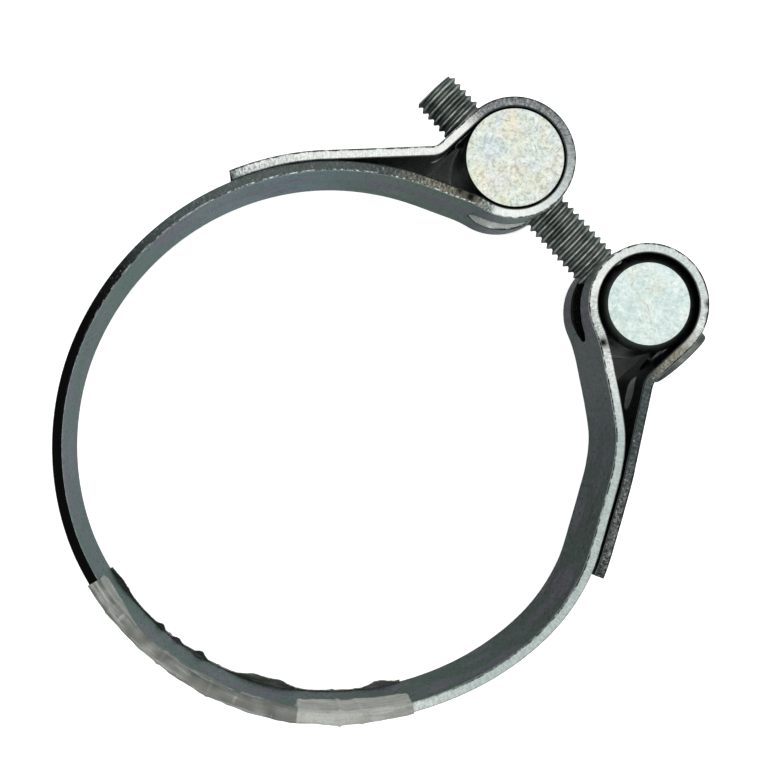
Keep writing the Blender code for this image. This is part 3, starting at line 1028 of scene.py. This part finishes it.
def strip_mesh(shape, rim):
    """The plate as a mesh with its paint attributes. Frees the bmesh."""
    is_rim = np.array([vert in rim for vert in shape.verts], float)
    is_line = np.array([on_slot_line(vert) for vert in shape.verts], float)
    mesh = from_bmesh("strip_plate", shape)
    along, height, depth = np.array([vert.co for vert in mesh.vertices]).T
    color, grit = edge_paint_and_reflection(along, height, depth)
    # Painted shade for the hollows; it darkens the outer face and the cut edge's outer corner there.
    hollow_darkness = along_strip(HOLLOW_SHADE, along)
    store(mesh, "painted_glint", glint_patches(along, height, depth))
    store(mesh, "lip", hollow_darkness)
    store(mesh, "edge_paint_and_reflection", color)
    store(mesh, "edge_grit", grit)
    store(mesh, "wall_paint_and_reflection", along_strip(WALL_COLORS_AND_REFLECTIONS, along))
    store(mesh, "corner", along_strip(CORNER_GLINT_AND_SHADE, along))
    store(mesh, "painted_hollow_shade", hollow_darkness * (depth > 0.1 * MM) * (is_rim < 0.5))
    store(mesh, "slot_line", is_line)
    store(mesh, "rim", is_rim)
    return mesh


strip_plate = linked("strip_plate", strip_mesh(plate, rim_points))
print(len(strip_plate.data.attributes), "attributes on the plate")

# %% The strip, bent
bend_strip = bending_tree("bend_strip", STRIP_FINISH)
strip = plain_mesh("clamp_strip", strip_plate, bend_strip, {"Line": guide})
smoothed(strip.data, 42.0)
report(strip)

# %% [markdown]
# ## The cross bars
# Each bar is a slug sawn or cropped from round stock, bored across for the bolt. The end faces are what
# shows: faint turning rings, cloudy zinc and small dents. The bars are turned from a profile with many
# small steps and then bored with a Boolean, because a round hole across a round bar has no simpler way.


# %% Zinc on the bars
SCRATCH_WAYS = (12.0, 74.0, 131.0)


def bar_finish(name, base, tints, roughcast, pitting):
    """Zinc on a turned end face. Tints are (colour, strength) pairs in separate clouds."""
    material, tree, shader = finish(name, 1.0)
    at = stretched(tree, put(tree, "ShaderNodeTexCoord").outputs["Object"], PER_MM)
    color = base
    for number, (tint, strength) in enumerate(tints):
        shifted = vector_of(tree, "ADD", at, (17.0 * number, 5.0 * number, 3.0))
        patches = cloud(tree, shifted, 0.30, 3.0, 0.6)
        color = tinted(tree, color, ((patches, 0.46, 0.66, strength, tint),))
    grains = cloud(tree, at, 0.95, 5.0, 0.72)
    pits = cloud(tree, at, 2.3, 4.0, 0.75)
    specks = cloud(tree, at, 3.2, 3.0, 0.6)
    color = tinted(
        tree,
        color,
        (
            (grains, 0.50, 0.34, 0.55 * pitting, (0.34, 0.38, 0.36)),
            (grains, 0.50, 0.64, 0.60, (0.97, 0.99, 0.96)),
            (pits, 0.50, 0.36, 0.60 * pitting, (0.33, 0.36, 0.35)),
            (pits, 0.54, 0.66, 0.45, (1.0, 1.0, 0.99)),
            (specks, 0.36, 0.28, 0.50 * pitting, (0.20, 0.21, 0.20)),
        ),
    )
    for number, degrees in enumerate(SCRATCH_WAYS):
        around = {"Vector": at, "Axis": (0.0, 0.0, 1.0), "Angle": math.radians(degrees)}
        way = put(tree, "ShaderNodeVectorRotate", around).outputs[0]
        way = vector_of(tree, "ADD", stretched(tree, way, (0.30, 2.6, 1.0)), (0.0, 0.0, 9.0 * number))
        cuts = cloud(tree, way, 1.0, 2.0, 0.5)
        dark_cuts = (cuts, 0.66, 0.74, 0.45, (0.26, 0.29, 0.29))
        bright_cuts = (cuts, 0.34, 0.26, 0.40, (0.99, 1.0, 0.98))
        color = tinted(tree, color, (dark_cuts, bright_cuts))
    # Painted shade: the bar's side and chamfer, all but its flat end faces, are made near black, standing
    # for the shade in the eye round it.
    side = put(tree, "ShaderNodeNewGeometry").outputs["Normal"]
    up = put(tree, "ShaderNodeSeparateXYZ", {0: side}).outputs["Z"]
    on_end = ramp(tree, math_of(tree, "ABSOLUTE", up), 0.80, 0.98)
    color = blend_colors(tree, on_end, (0.055, 0.065, 0.06), color)
    surface(tree, shader, color, ramp(tree, grains, 0.3, 0.7, 0.34, 0.5))
    first = bump(tree, shader, grains, 0.05 * roughcast * MM)
    bump(tree, shader, specks, 0.02 * MM, first)
    return material


# %% The two bars' finishes
THREADED_BAR_FINISH = bar_finish(
    "zinc_on_threaded_bar",
    (0.73, 0.79, 0.72),
    (((0.84, 0.80, 0.54), 0.60), ((0.62, 0.72, 0.86), 0.50), ((0.90, 0.72, 0.64), 0.35)),
    roughcast=1.6,
    pitting=0.95,
)
PLAIN_BAR_FINISH = bar_finish(
    "zinc_on_plain_bar",
    (0.655, 0.775, 0.755),
    (((0.58, 0.73, 0.75), 0.5), ((0.82, 0.92, 0.91), 0.5), ((0.82, 0.74, 0.60), 0.35)),
    roughcast=1.4,
    pitting=0.50,
)
print("finishes:", THREADED_BAR_FINISH.name, "and", PLAIN_BAR_FINISH.name)


# %% Turned shapes
def turned(name, profile, steps):
    """A closed turned mesh about +Z, from (radius, height) points that run down its outer side."""
    shape = bmesh.new()
    angles = [2 * math.pi * i / steps for i in range(steps)]
    rings = []
    for radius, height in profile:
        around = angles if radius > 0 else [0.0]
        rings.append(
            [shape.verts.new((radius * math.cos(a), radius * math.sin(a), height)) for a in around]
        )
    for upper, lower in zip(rings, rings[1:]):
        for i in range(steps):
            j = (i + 1) % steps
            corners = [upper[i % len(upper)], lower[i % len(lower)]]
            corners += [lower[j % len(lower)], upper[j % len(upper)]]
            unique = list(dict.fromkeys(corners))
            if len(unique) > 2:
                shape.faces.new(unique)
    return from_bmesh(name, shape)


def cut_away(thing, cutter):
    """A piece's mesh with the cutter's shape taken out of it. Removes both objects."""
    cut = thing.modifiers.new("cut", "BOOLEAN")
    cut.operation = "DIFFERENCE"
    cut.object = cutter
    mesh = as_mesh(thing)
    bpy.data.objects.remove(thing, do_unlink=True)
    bpy.data.objects.remove(cutter, do_unlink=True)
    return mesh


print("turning and cutting ready")


# %% The bars
THREADED_BAR_R = 5.97 * MM
PLAIN_BAR_R = 5.85 * MM
BORE_R = 3.3 * MM
BORE_REACH = 8.0 * MM
ROUND_STEPS = 128
BAR_SINK = 0.05 * MM


def bar_profile(bar_r, chamfer):
    """A bar's outline: faint turning rings on both ends, and a chamfer with a small rounded corner."""
    half = BAND_WIDTH / 2 - BAR_SINK
    face_r = bar_r - chamfer
    rings = []
    for radius in np.linspace(0.0, face_r - 0.1 * MM, 40):
        dish = 0.0016 * math.sin(radius / MM * 9.0) + 0.004 * math.sin(radius / MM * 2.3) - 0.02
        rings.append((float(radius), half + dish * MM))
    corner = 0.05 * MM
    rings += [(face_r, half - 0.02 * MM), (face_r + corner, half - 0.05 * MM)]
    rings += [(bar_r - corner / 2, half - chamfer - 0.02 * MM), (bar_r, half - chamfer - 0.08 * MM)]
    sides = [(bar_r, height) for height in np.linspace(half - chamfer - 1.0 * MM, 0.0, 6)]
    upper = rings + sides
    return upper + [(radius, -height) for radius, height in upper[-2::-1]]


def cross_bar(name, eye, bar_r, chamfer, material):
    """A bar in its eye, bored across for the bolt."""
    bar = linked(name, turned(name, bar_profile(bar_r, chamfer), ROUND_STEPS))
    bar.location = (eye.x, eye.y, MID_HEIGHT)
    drill = ((0.0, BORE_REACH), (BORE_R, BORE_REACH), (BORE_R, -BORE_REACH), (0.0, -BORE_REACH))
    bore = linked("bore", turned("bore", drill, ROUND_STEPS // 2))
    bore.location = bar.location
    bore.rotation_mode = "QUATERNION"
    bore.rotation_quaternion = Vector((*BOLT_DIRECTION, 0.0)).to_track_quat("Z", "Y")
    mesh = cut_away(bar, bore)
    mesh.materials.clear()
    mesh.materials.append(material)
    smoothed(mesh, 30.0)
    piece = linked(name, mesh)
    report(piece)
    return piece


threaded_bar = cross_bar(
    "threaded_cross_bar", LEFT_EYE, THREADED_BAR_R, 0.08 * MM, THREADED_BAR_FINISH
)
plain_bar = cross_bar("plain_cross_bar", RIGHT_EYE, PLAIN_BAR_R, 0.85 * MM, PLAIN_BAR_FINISH)

# %% [markdown]
# ## The bolt
# An M6 bolt with a low round head. Its thread is a rule and not a picture: a point of the rod lies in
# the groove according to how far along it is and which way round it faces. Geometry Nodes apply that
# rule to every point of a finely divided rod, which keeps the groove a true right-hand helix. The tip
# is chamfered, and the rod's ends fade the groove out.


# %% Steel of the bolt
def bolt_finish():
    """Dark plated steel with dark oily patches, lighter on the crests: partly wear, partly painted
    highlight.
    """
    material, tree, shader = finish("dark_plated_bolt", 1.0)
    at = stretched(tree, put(tree, "ShaderNodeTexCoord").outputs["Object"], PER_MM)
    patches = cloud(tree, at, 0.7, 4.0, 0.6)
    fine = cloud(tree, at, 5.0, 3.0, 0.6)
    oil = cloud(tree, at, 0.35, 3.0, 0.5)
    color = blend_colors(tree, ramp(tree, patches, 0.35, 0.7), (0.15, 0.165, 0.155), (0.26, 0.28, 0.26))
    # Painted highlight, partly wear: the thread's crests are made lighter.
    on_crest = ramp(tree, stored(tree, "crest"), 0.55, 1.0)
    worn_and_highlight = times(tree, on_crest, ramp(tree, fine, 0.3, 0.6, 0.35, 1.0))
    color = blend_colors(tree, worn_and_highlight, color, (0.55, 0.58, 0.54))
    color = tinted(tree, color, ((oil, 0.54, 0.64, 0.6, (0.05, 0.055, 0.05)),))
    surface(tree, shader, color, ramp(tree, fine, 0.3, 0.7, 0.30, 0.46))
    bump(tree, shader, fine, 0.03 * MM)
    return material


BOLT_FINISH = bolt_finish()
print("finish:", BOLT_FINISH.name)

# %% The thread as a rule
PITCH = 1.0 * MM
BOLT_R = 2.96 * MM
THREAD_DEPTH = 0.44 * MM


def ramp_plain(tree, value, low, high):
    """A value mapped evenly from one range to 0 to 1, and held at its ends."""
    sockets = {"Value": value, "From Min": low, "From Max": high}
    return put(tree, "ShaderNodeMapRange", sockets).outputs[0]


def groove_at(tree, at, given):
    """How deep in the groove a point lies, from 0 on the crest to 1 on the floor."""
    turn = math_of(tree, "DIVIDE", math_of(tree, "ARCTAN2", at["Y"], at["X"]), 2 * math.pi)
    along = math_of(tree, "DIVIDE", at["Z"], given["Pitch"])
    saw = math_of(tree, "PINGPONG", math_of(tree, "SUBTRACT", along, turn), 0.5)
    run_in = plus(tree, given["Start"], given["Pitch"])
    run_out = math_of(tree, "SUBTRACT", given["End"], given["Pitch"])
    fade_in = ramp_plain(tree, at["Z"], given["Start"], run_in)
    fade_out = ramp_plain(tree, at["Z"], given["End"], run_out)
    return times(tree, ramp_plain(tree, saw, 0.07, 0.40), times(tree, fade_in, fade_out))


def thread_tree(material):
    """The tree that presses a right-hand thread into a rod about +Z."""
    sizes = ("Pitch", "Depth", "Crest radius", "Start", "End")
    tree, start, result = shape_tree("press_thread", [(size, "NodeSocketFloat") for size in sizes])
    given = start.outputs
    place = put(tree, "GeometryNodeInputPosition").outputs[0]
    at = put(tree, "ShaderNodeSeparateXYZ", {0: place}).outputs
    squares = plus(tree, times(tree, at["X"], at["X"]), times(tree, at["Y"], at["Y"]))
    radius = math_of(tree, "SQRT", squares)
    groove = groove_at(tree, at, given)
    on_rod = math_of(tree, "GREATER_THAN", at["Z"], given["Start"])
    limit = math_of(tree, "SUBTRACT", given["Crest radius"], times(tree, groove, given["Depth"]))
    threaded = times(tree, math_of(tree, "MINIMUM", radius, limit), on_rod)
    plain = times(tree, radius, math_of(tree, "SUBTRACT", 1.0, on_rod))
    kept = plus(tree, threaded, plain)
    scale = math_of(tree, "DIVIDE", kept, math_of(tree, "MAXIMUM", radius, 0.000001))
    sides = {"X": times(tree, at["X"], scale), "Y": times(tree, at["Y"], scale), "Z": at["Z"]}
    pressed_to = put(tree, "ShaderNodeCombineXYZ", sides).outputs[0]
    crest = times(tree, math_of(tree, "SUBTRACT", 1.0, groove), on_rod)
    marked = kept_value(tree, given["Geometry"], "crest", crest, "FLOAT")
    pressed = put(tree, "GeometryNodeSetPosition", {"Geometry": marked, "Position": pressed_to})
    end_tree(tree, pressed.outputs[0], material, result)
    return tree


print("thread of", PITCH / MM, "mm pitch,", THREAD_DEPTH / MM, "mm deep")

# %% The rod and its head
HEAD_R = 4.3 * MM
HEAD_HEIGHT = 1.1 * MM
UNDER_HEAD = -7.7 * MM
HEAD_TOP = UNDER_HEAD - HEAD_HEIGHT
CROWN_R = 0.3 * MM
TIP = (RIGHT_EYE - LEFT_EYE).length + 13.2 * MM
TIP_CHAMFER = 0.35 * MM
SOCKET_ACROSS_FLATS = 4.0 * MM
SOCKET_DEPTH = 2.4 * MM
ROWS_PER_PITCH = 12
ROD_STEPS = 64


def rod_profile():
    """The bolt's outline before it is threaded, from its tip down to the top of its head."""
    body = np.arange(TIP - TIP_CHAMFER, UNDER_HEAD + 0.25 * MM, -PITCH / ROWS_PER_PITCH)
    tip = [(0.0, TIP), (0.9 * MM, TIP), (BOLT_R - TIP_CHAMFER, TIP)]
    chamfer = [
        (BOLT_R - TIP_CHAMFER * (1 - part), TIP - TIP_CHAMFER * part) for part in (0.2, 0.4, 0.6, 0.8)
    ]
    rod = [(BOLT_R, float(height)) for height in body]
    neck = [(BOLT_R, UNDER_HEAD + 0.12 * MM), (BOLT_R + 0.1 * MM, UNDER_HEAD)]
    head = [(HEAD_R - 0.1 * MM, UNDER_HEAD), (HEAD_R, UNDER_HEAD - 0.1 * MM)]
    for degrees in (0, 22.5, 45, 67.5, 90):
        angle = math.radians(degrees)
        out = HEAD_R - CROWN_R * (1 - math.cos(angle))
        head.append((out, HEAD_TOP + CROWN_R * (1 - math.sin(angle))))
    return tip + chamfer + rod + neck + head + [(0.0, HEAD_TOP)]


def clamp_bolt():
    """The threaded bolt in its place, with a hexagon socket in its head."""
    rod = linked("rod", turned("rod", rod_profile(), ROD_STEPS))
    values = {
        "Pitch": PITCH,
        "Depth": THREAD_DEPTH,
        "Crest radius": BOLT_R,
        "Start": UNDER_HEAD + 1.2 * MM,
        "End": TIP + PITCH,
    }
    threaded_rod = plain_mesh("threaded_rod", rod, thread_tree(BOLT_FINISH), values)
    corner = SOCKET_ACROSS_FLATS / math.sqrt(3)
    floor_at, above = HEAD_TOP + SOCKET_DEPTH, HEAD_TOP - MM
    wall = ((0.0, floor_at), (corner, floor_at), (corner, above), (0.0, above))
    mesh = cut_away(threaded_rod, linked("socket", turned("socket", wall, 6)))
    turn = Vector((*-BOLT_DIRECTION, 0.0)).to_track_quat("Z", "Y").to_matrix().to_4x4()
    mesh.transform(Matrix.Translation((RIGHT_EYE.x, RIGHT_EYE.y, MID_HEIGHT)) @ turn)
    smoothed(mesh, 38.0)
    piece = linked("clamp_bolt_m6", mesh)
    report(piece)
    return piece


bolt = clamp_bolt()

# %% [markdown]
# ## The sticker
# A printed label is wrapped round the outside of the strip's back, and both of its long edges are
# folded over the strip. Over the inside it was torn away, so a ragged flap of changing depth is left
# there, and a few scraps curl up at the strip's lower edge. It is drawn flat, too: each column of
# points runs from the lower scrap round the outside to the upper flap, and the same tree bends it.


# %% Paper
def paper_finish():
    """Off-white label film: greyish, creased, and a little glossy."""
    material, tree, shader = finish("label_film", 0.0)
    at = stretched(tree, stored(tree, "flat", "Vector"), PER_MM)
    smudges = cloud(tree, at, 0.35, 4.0, 0.6)
    rumpled = streaks(tree, at, (0.9, 0.35, 0.35), 3.0, 0.5)
    pulled = streaks(tree, at, (0.10, 1.1, 1.1), 3.0, 0.6)
    fibres = cloud(tree, at, 6.0, 3.0, 0.7)
    # The paper's stored lightness includes painted highlights on the creases and on the flap past 261
    # degrees.
    color = tinted(
        tree,
        blend_colors(tree, stored(tree, "tone"), (0.07, 0.08, 0.07), (0.42, 0.43, 0.40)),
        (
            (smudges, 0.35, 0.70, 0.40, (0.17, 0.16, 0.14)),
            (rumpled, 0.60, 0.70, 0.40, (0.52, 0.53, 0.50)),
            (pulled, 0.50, 0.36, 0.45, (0.11, 0.105, 0.095)),
            (pulled, 0.52, 0.66, 0.45, (0.50, 0.51, 0.48)),
            (fibres, 0.70, 0.30, 0.30, (0.07, 0.07, 0.06)),
        ),
    )
    surface(tree, shader, color, ramp(tree, smudges, 0.3, 0.7, 0.34, 0.52))
    first = bump(tree, shader, plus(tree, rumpled, pulled), 0.25 * MM)
    bump(tree, shader, fibres, 0.03 * MM, first)
    return material


PAPER_FINISH = paper_finish()
print("finish:", PAPER_FINISH.name)

# %% How deep the flap is torn, and how far the scraps reach
PAPER_THICK = 0.11 * MM
PAPER_GAP = 0.07 * MM
FLAP_DEPTH = (
    (209.5, 6.0),
    (211.0, 9.0),
    (214.0, 8.6),
    (217.0, 7.0),
    (220.0, 3.6),
    (222.0, 1.2),
    (226.0, 0.7),
    (231.0, 0.9),
    (235.0, 2.0),
    (238.0, 3.2),
    (242.0, 4.0),
    (246.5, 2.2),
    (248.2, 0.7),
    (248.8, 5.0),
    (252.0, 4.2),
    (257.0, 2.6),
    (260.4, 1.6),
    (261.2, 8.4),
    (265.0, 9.4),
    (269.0, 10.6),
    (273.0, 10.0),
    (278.0, 9.2),
    (282.0, 8.0),
    (285.5, 6.6),
)
SCRAPS = (
    (213.2, 3.2, 0.55),
    (226.9, 1.0, 0.50),
    (231.7, 1.1, 0.45),
    (238.0, 1.3, 0.60),
    (251.0, 3.0, 0.75),
    (257.0, 3.6, 0.85),
    (280.5, 3.2, 0.70),
)


def curl_at(bearing):
    """How far the scraps at the lower edge curl in from the strip at a bearing, in metres."""
    return sum(high * math.exp(-(((bearing - at) / wide) ** 2)) for at, wide, high in SCRAPS) * MM


def listed(table, bearing):
    """A table's value at a bearing, evenly between its entries, in metres."""
    return float(np.interp(bearing, [row[0] for row in table], [row[1] for row in table])) * MM


print("flap up to", max(row[1] for row in FLAP_DEPTH), "mm deep")

# %% One column of the sticker
UPPER_ROWS = 16
FACE_ROWS = 22
FOLD_ROWS = 6
SCRAP_ROWS = 6
SCRAP_HEIGHT = 1.3 * MM
STICKER_LOW = 0.36 * MM
STICKER_HIGH = BAND_WIDTH - 0.12 * MM


def fold(top, rising):
    """Points of a fold over one of the strip's edges, as (depth, height) from the strip's middle line."""
    reach = HALF_THICK + PAPER_GAP
    points = []
    for part in np.linspace(0.0, math.pi, FOLD_ROWS + 1)[1:-1]:
        bulge = math.sin(part) ** 0.6
        points.append((reach * math.cos(part), top + rising * bulge))
    return points


def sticker_column(bearing, ragged):
    """One column of the sticker, from its lower scrap round the outside to its torn upper end."""
    reach = HALF_THICK + PAPER_GAP
    depth = max(0.25 * MM, listed(FLAP_DEPTH, bearing) + ragged * 0.55 * MM)
    curl = max(0.0, curl_at(bearing) + ragged * 0.06 * MM)
    height = SCRAP_HEIGHT * min(1.0, 0.25 + curl / (0.6 * MM))
    column = []
    for part in np.linspace(1.0, 0.0, SCRAP_ROWS):
        lift = height * part * (1 - 0.25 * part)
        column.append((-reach - curl * part**0.7, STICKER_LOW + lift))
    column += fold(STICKER_LOW, -0.25 * MM)[::-1]
    column += [(reach, at) for at in np.linspace(STICKER_LOW, STICKER_HIGH, FACE_ROWS)]
    column += fold(STICKER_HIGH, 0.38 * MM)
    column += [(-reach, at) for at in np.linspace(STICKER_HIGH, STICKER_HIGH - depth, UPPER_ROWS)]
    return column


print(len(sticker_column(230.0, 0.0)), "points in one column of the sticker")

# %% Creases and tone of the paper
# Each crosswise crease: its bearing, how much it leans, and how strong it is.
CREASES = (
    (215.6, 0.010, 0.5),
    (229.5, 0.022, 0.7),
    (243.0, -0.030, 0.6),
    (269.6, 0.012, 1.0),
    (275.2, -0.02, 0.5),
)
CREASE_WIDTH = 0.34


def crease(bearing, row):
    """How strongly a crosswise crease shows here, from 0 to 1."""
    marks = []
    for at, lean, strength in CREASES:
        gap = (bearing - at - lean * row) / CREASE_WIDTH
        marks.append(strength * math.exp(-(gap**2)))
    return max(marks)


def wrinkle(bearing, along, row):
    """How far the paper stands off the strip here."""
    broad = noise.noise(Vector((along / MM * 0.30, row * 0.16, 3.0)))
    fine = noise.noise(Vector((along / MM * 0.95, row * 0.45, 8.0)))
    return max(0.0, 0.10 + 0.16 * broad + 0.08 * fine + 0.16 * crease(bearing, row)) * MM


def sticker_tone(bearing, row, rows):
    """How light the paper is here, from 0 to 1."""
    light = 0.19 + 0.40 * noise.noise(Vector((bearing * 0.35, row * 0.2, 5.0)))
    if row > rows - UPPER_ROWS and bearing < 222.0:
        light += 0.50
    # Painted highlight, partly the paper's own colour: the flap past 261 degrees and the creases are made
    # lighter.
    if bearing > 261.0:
        light += 0.92
    light += 0.30 * crease(bearing, row)
    if row < SCRAP_ROWS + 1:
        light += 0.25 if 243.0 < bearing < 265.0 else -0.40
    return min(1.0, max(0.0, light))


print(len(CREASES), "creases")

# %% The sticker, flat, then bent
STICKER_BEARINGS = (209.5, 285.5)
STICKER_STEP = 0.3


def sticker_mesh():
    """The sticker as one layer of faces in flat places, with its tone."""
    shape = bmesh.new()
    layer = shape.verts.layers.float.new("tone")
    grid = []
    for bearing in spaced(*STICKER_BEARINGS, STICKER_STEP):
        ragged = noise.noise(Vector((bearing * 1.3, 0.0, 0.0)))
        ragged += 0.5 * noise.noise(Vector((bearing * 4.1, 2.0, 0.0)))
        column = sticker_column(bearing, ragged)
        along = place_at(bearing)
        verts = []
        for row, (depth, height) in enumerate(column):
            off = wrinkle(bearing, along, row)
            away = math.copysign(off, depth) * min(1.0, abs(depth) / HALF_THICK)
            vert = shape.verts.new((along, height, depth + away))
            vert[layer] = sticker_tone(bearing, row, len(column))
            verts.append(vert)
        grid.append(verts)
    for left, right in zip(grid, grid[1:]):
        for row in range(len(left) - 1):
            shape.faces.new((left[row], left[row + 1], right[row + 1], right[row]))
    return from_bmesh("sticker_flat", shape)


sticker_flat = linked("sticker_flat", sticker_mesh())
paper = sticker_flat.modifiers.new("paper", "SOLIDIFY")
paper.thickness = PAPER_THICK
paper.offset = 0.0
bend_sticker = bending_tree("bend_sticker", PAPER_FINISH)
sticker = plain_mesh("strip_sticker", sticker_flat, bend_sticker, {"Line": guide})
smoothed(sticker.data, 60.0)
bpy.data.objects.remove(guide, do_unlink=True)
report(sticker)

# %% [markdown]
# ## Floor and light
# The clamp lies on a plain white floor. Bright zinc shows its surroundings more than its own colour, so
# the light is a large soft sheet overhead, with darker, cooler surroundings low down, which is what
# the inside of the ring reflects. The floor is kept out of reflections for the same reason. It glows a
# little where it lies open, so that it stays white there and dark in the hollows under the eyes.

# %% Floor
floor_shape = bmesh.new()
bmesh.ops.create_grid(floor_shape, x_segments=1, y_segments=1, size=3.0)
floor = linked("floor", from_bmesh("floor", floor_shape))
floor_material, floor_tree, floor_shader = finish("white_floor", 0.0)
floor_shader.inputs["Base Color"].default_value = (0.95, 0.95, 0.95, 1.0)
floor_shader.inputs["Roughness"].default_value = 0.9
floor_shader.inputs["Emission Color"].default_value = (1.0, 1.0, 1.0, 1.0)
openness = put(floor_tree, "ShaderNodeAmbientOcclusion", {"Distance": 30.0 * MM}, samples=8)
glow = ramp(floor_tree, openness.outputs["AO"], 0.10, 0.42, 0.0, 0.62)
floor_tree.links.new(glow, floor_shader.inputs["Emission Strength"])
floor.data.materials.append(floor_material)
floor.location.z = -0.02 * MM
floor.visible_glossy = False
print("floor ready")


# %% Surroundings
def surroundings():
    """A world that is white overhead and a dark blue-grey below, and plain white to the camera."""
    world = bpy.data.worlds.new("studio")
    world.use_nodes = True
    tree = world.node_tree
    tree.nodes.clear()
    way = put(tree, "ShaderNodeTexCoord").outputs["Generated"]
    along = put(tree, "ShaderNodeSeparateXYZ", {0: way}).outputs
    to_right = ramp(tree, along["X"], -0.15, 0.12)
    low = blend_colors(tree, to_right, (0.10, 0.107, 0.103), (0.24, 0.265, 0.26))
    middle = blend_colors(tree, ramp(tree, along["Z"], -0.85, -0.35), low, (0.52, 0.56, 0.56))
    high = blend_colors(tree, ramp(tree, along["Z"], 0.10, 0.75), middle, (1.06, 1.08, 1.06))
    seen = put(tree, "ShaderNodeLightPath").outputs["Is Camera Ray"]
    color = blend_colors(tree, seen, high, (0.96, 0.96, 0.96))
    glow = put(tree, "ShaderNodeBackground", {"Color": color, "Strength": 1.0})
    put(tree, "ShaderNodeOutputWorld", {"Surface": glow.outputs[0]})
    bpy.context.scene.world = world


surroundings()
print("surroundings ready")


# %% One soft light
def soft_light(name, place, size, power):
    """A square area light that looks at the ring's middle."""
    data = bpy.data.lights.new(name, "AREA")
    data.shape = "SQUARE"
    data.size = size
    data.energy = power
    lamp = bpy.data.objects.new(name, data)
    lamp.location = place
    lamp.rotation_mode = "QUATERNION"
    lamp.rotation_quaternion = (-Vector(place)).to_track_quat("-Z", "Y")
    lamp.visible_glossy = False
    bpy.context.scene.collection.objects.link(lamp)


soft_light("key", (0.35, 0.45, 0.75), 0.45, 3.0)
bpy.context.scene.view_settings.view_transform = "Standard"
print("one soft light")

# %% [markdown]
# ## Who moves with what
# The bars ride on their own bodies and the bolt on its own. The strip is one springy piece that belongs
# to both halves of the frame, so it bends smoothly across the hinge at the ring's back, and the sticker
# bends with it. The bend is spread over a few millimetres on both sides of the hinge.

# %% Bodies and nodes
BLEND_REACH = 4.5 * MM
blend_start = (*(HINGE - BOLT_DIRECTION * BLEND_REACH), MID_HEIGHT)
blend_end = (*(HINGE + BOLT_DIRECTION * BLEND_REACH), MID_HEIGHT)
for piece in (strip, sticker):
    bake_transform(piece, "left_half", "right_half", start=blend_start, end=blend_end)
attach(threaded_bar, "threaded_bar")
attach(plain_bar, "plain_bar")
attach(bolt, "bolt")

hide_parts("band_left", "band_right")
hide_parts("label_left", "label_right")
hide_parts("threaded_trunnion")
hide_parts("plain_trunnion")
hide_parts("clamp_bolt")

print("the bend between the halves is", round(2 * BLEND_REACH / MM, 1), "mm long")

# %% The end
bpy.context.view_layer.update()
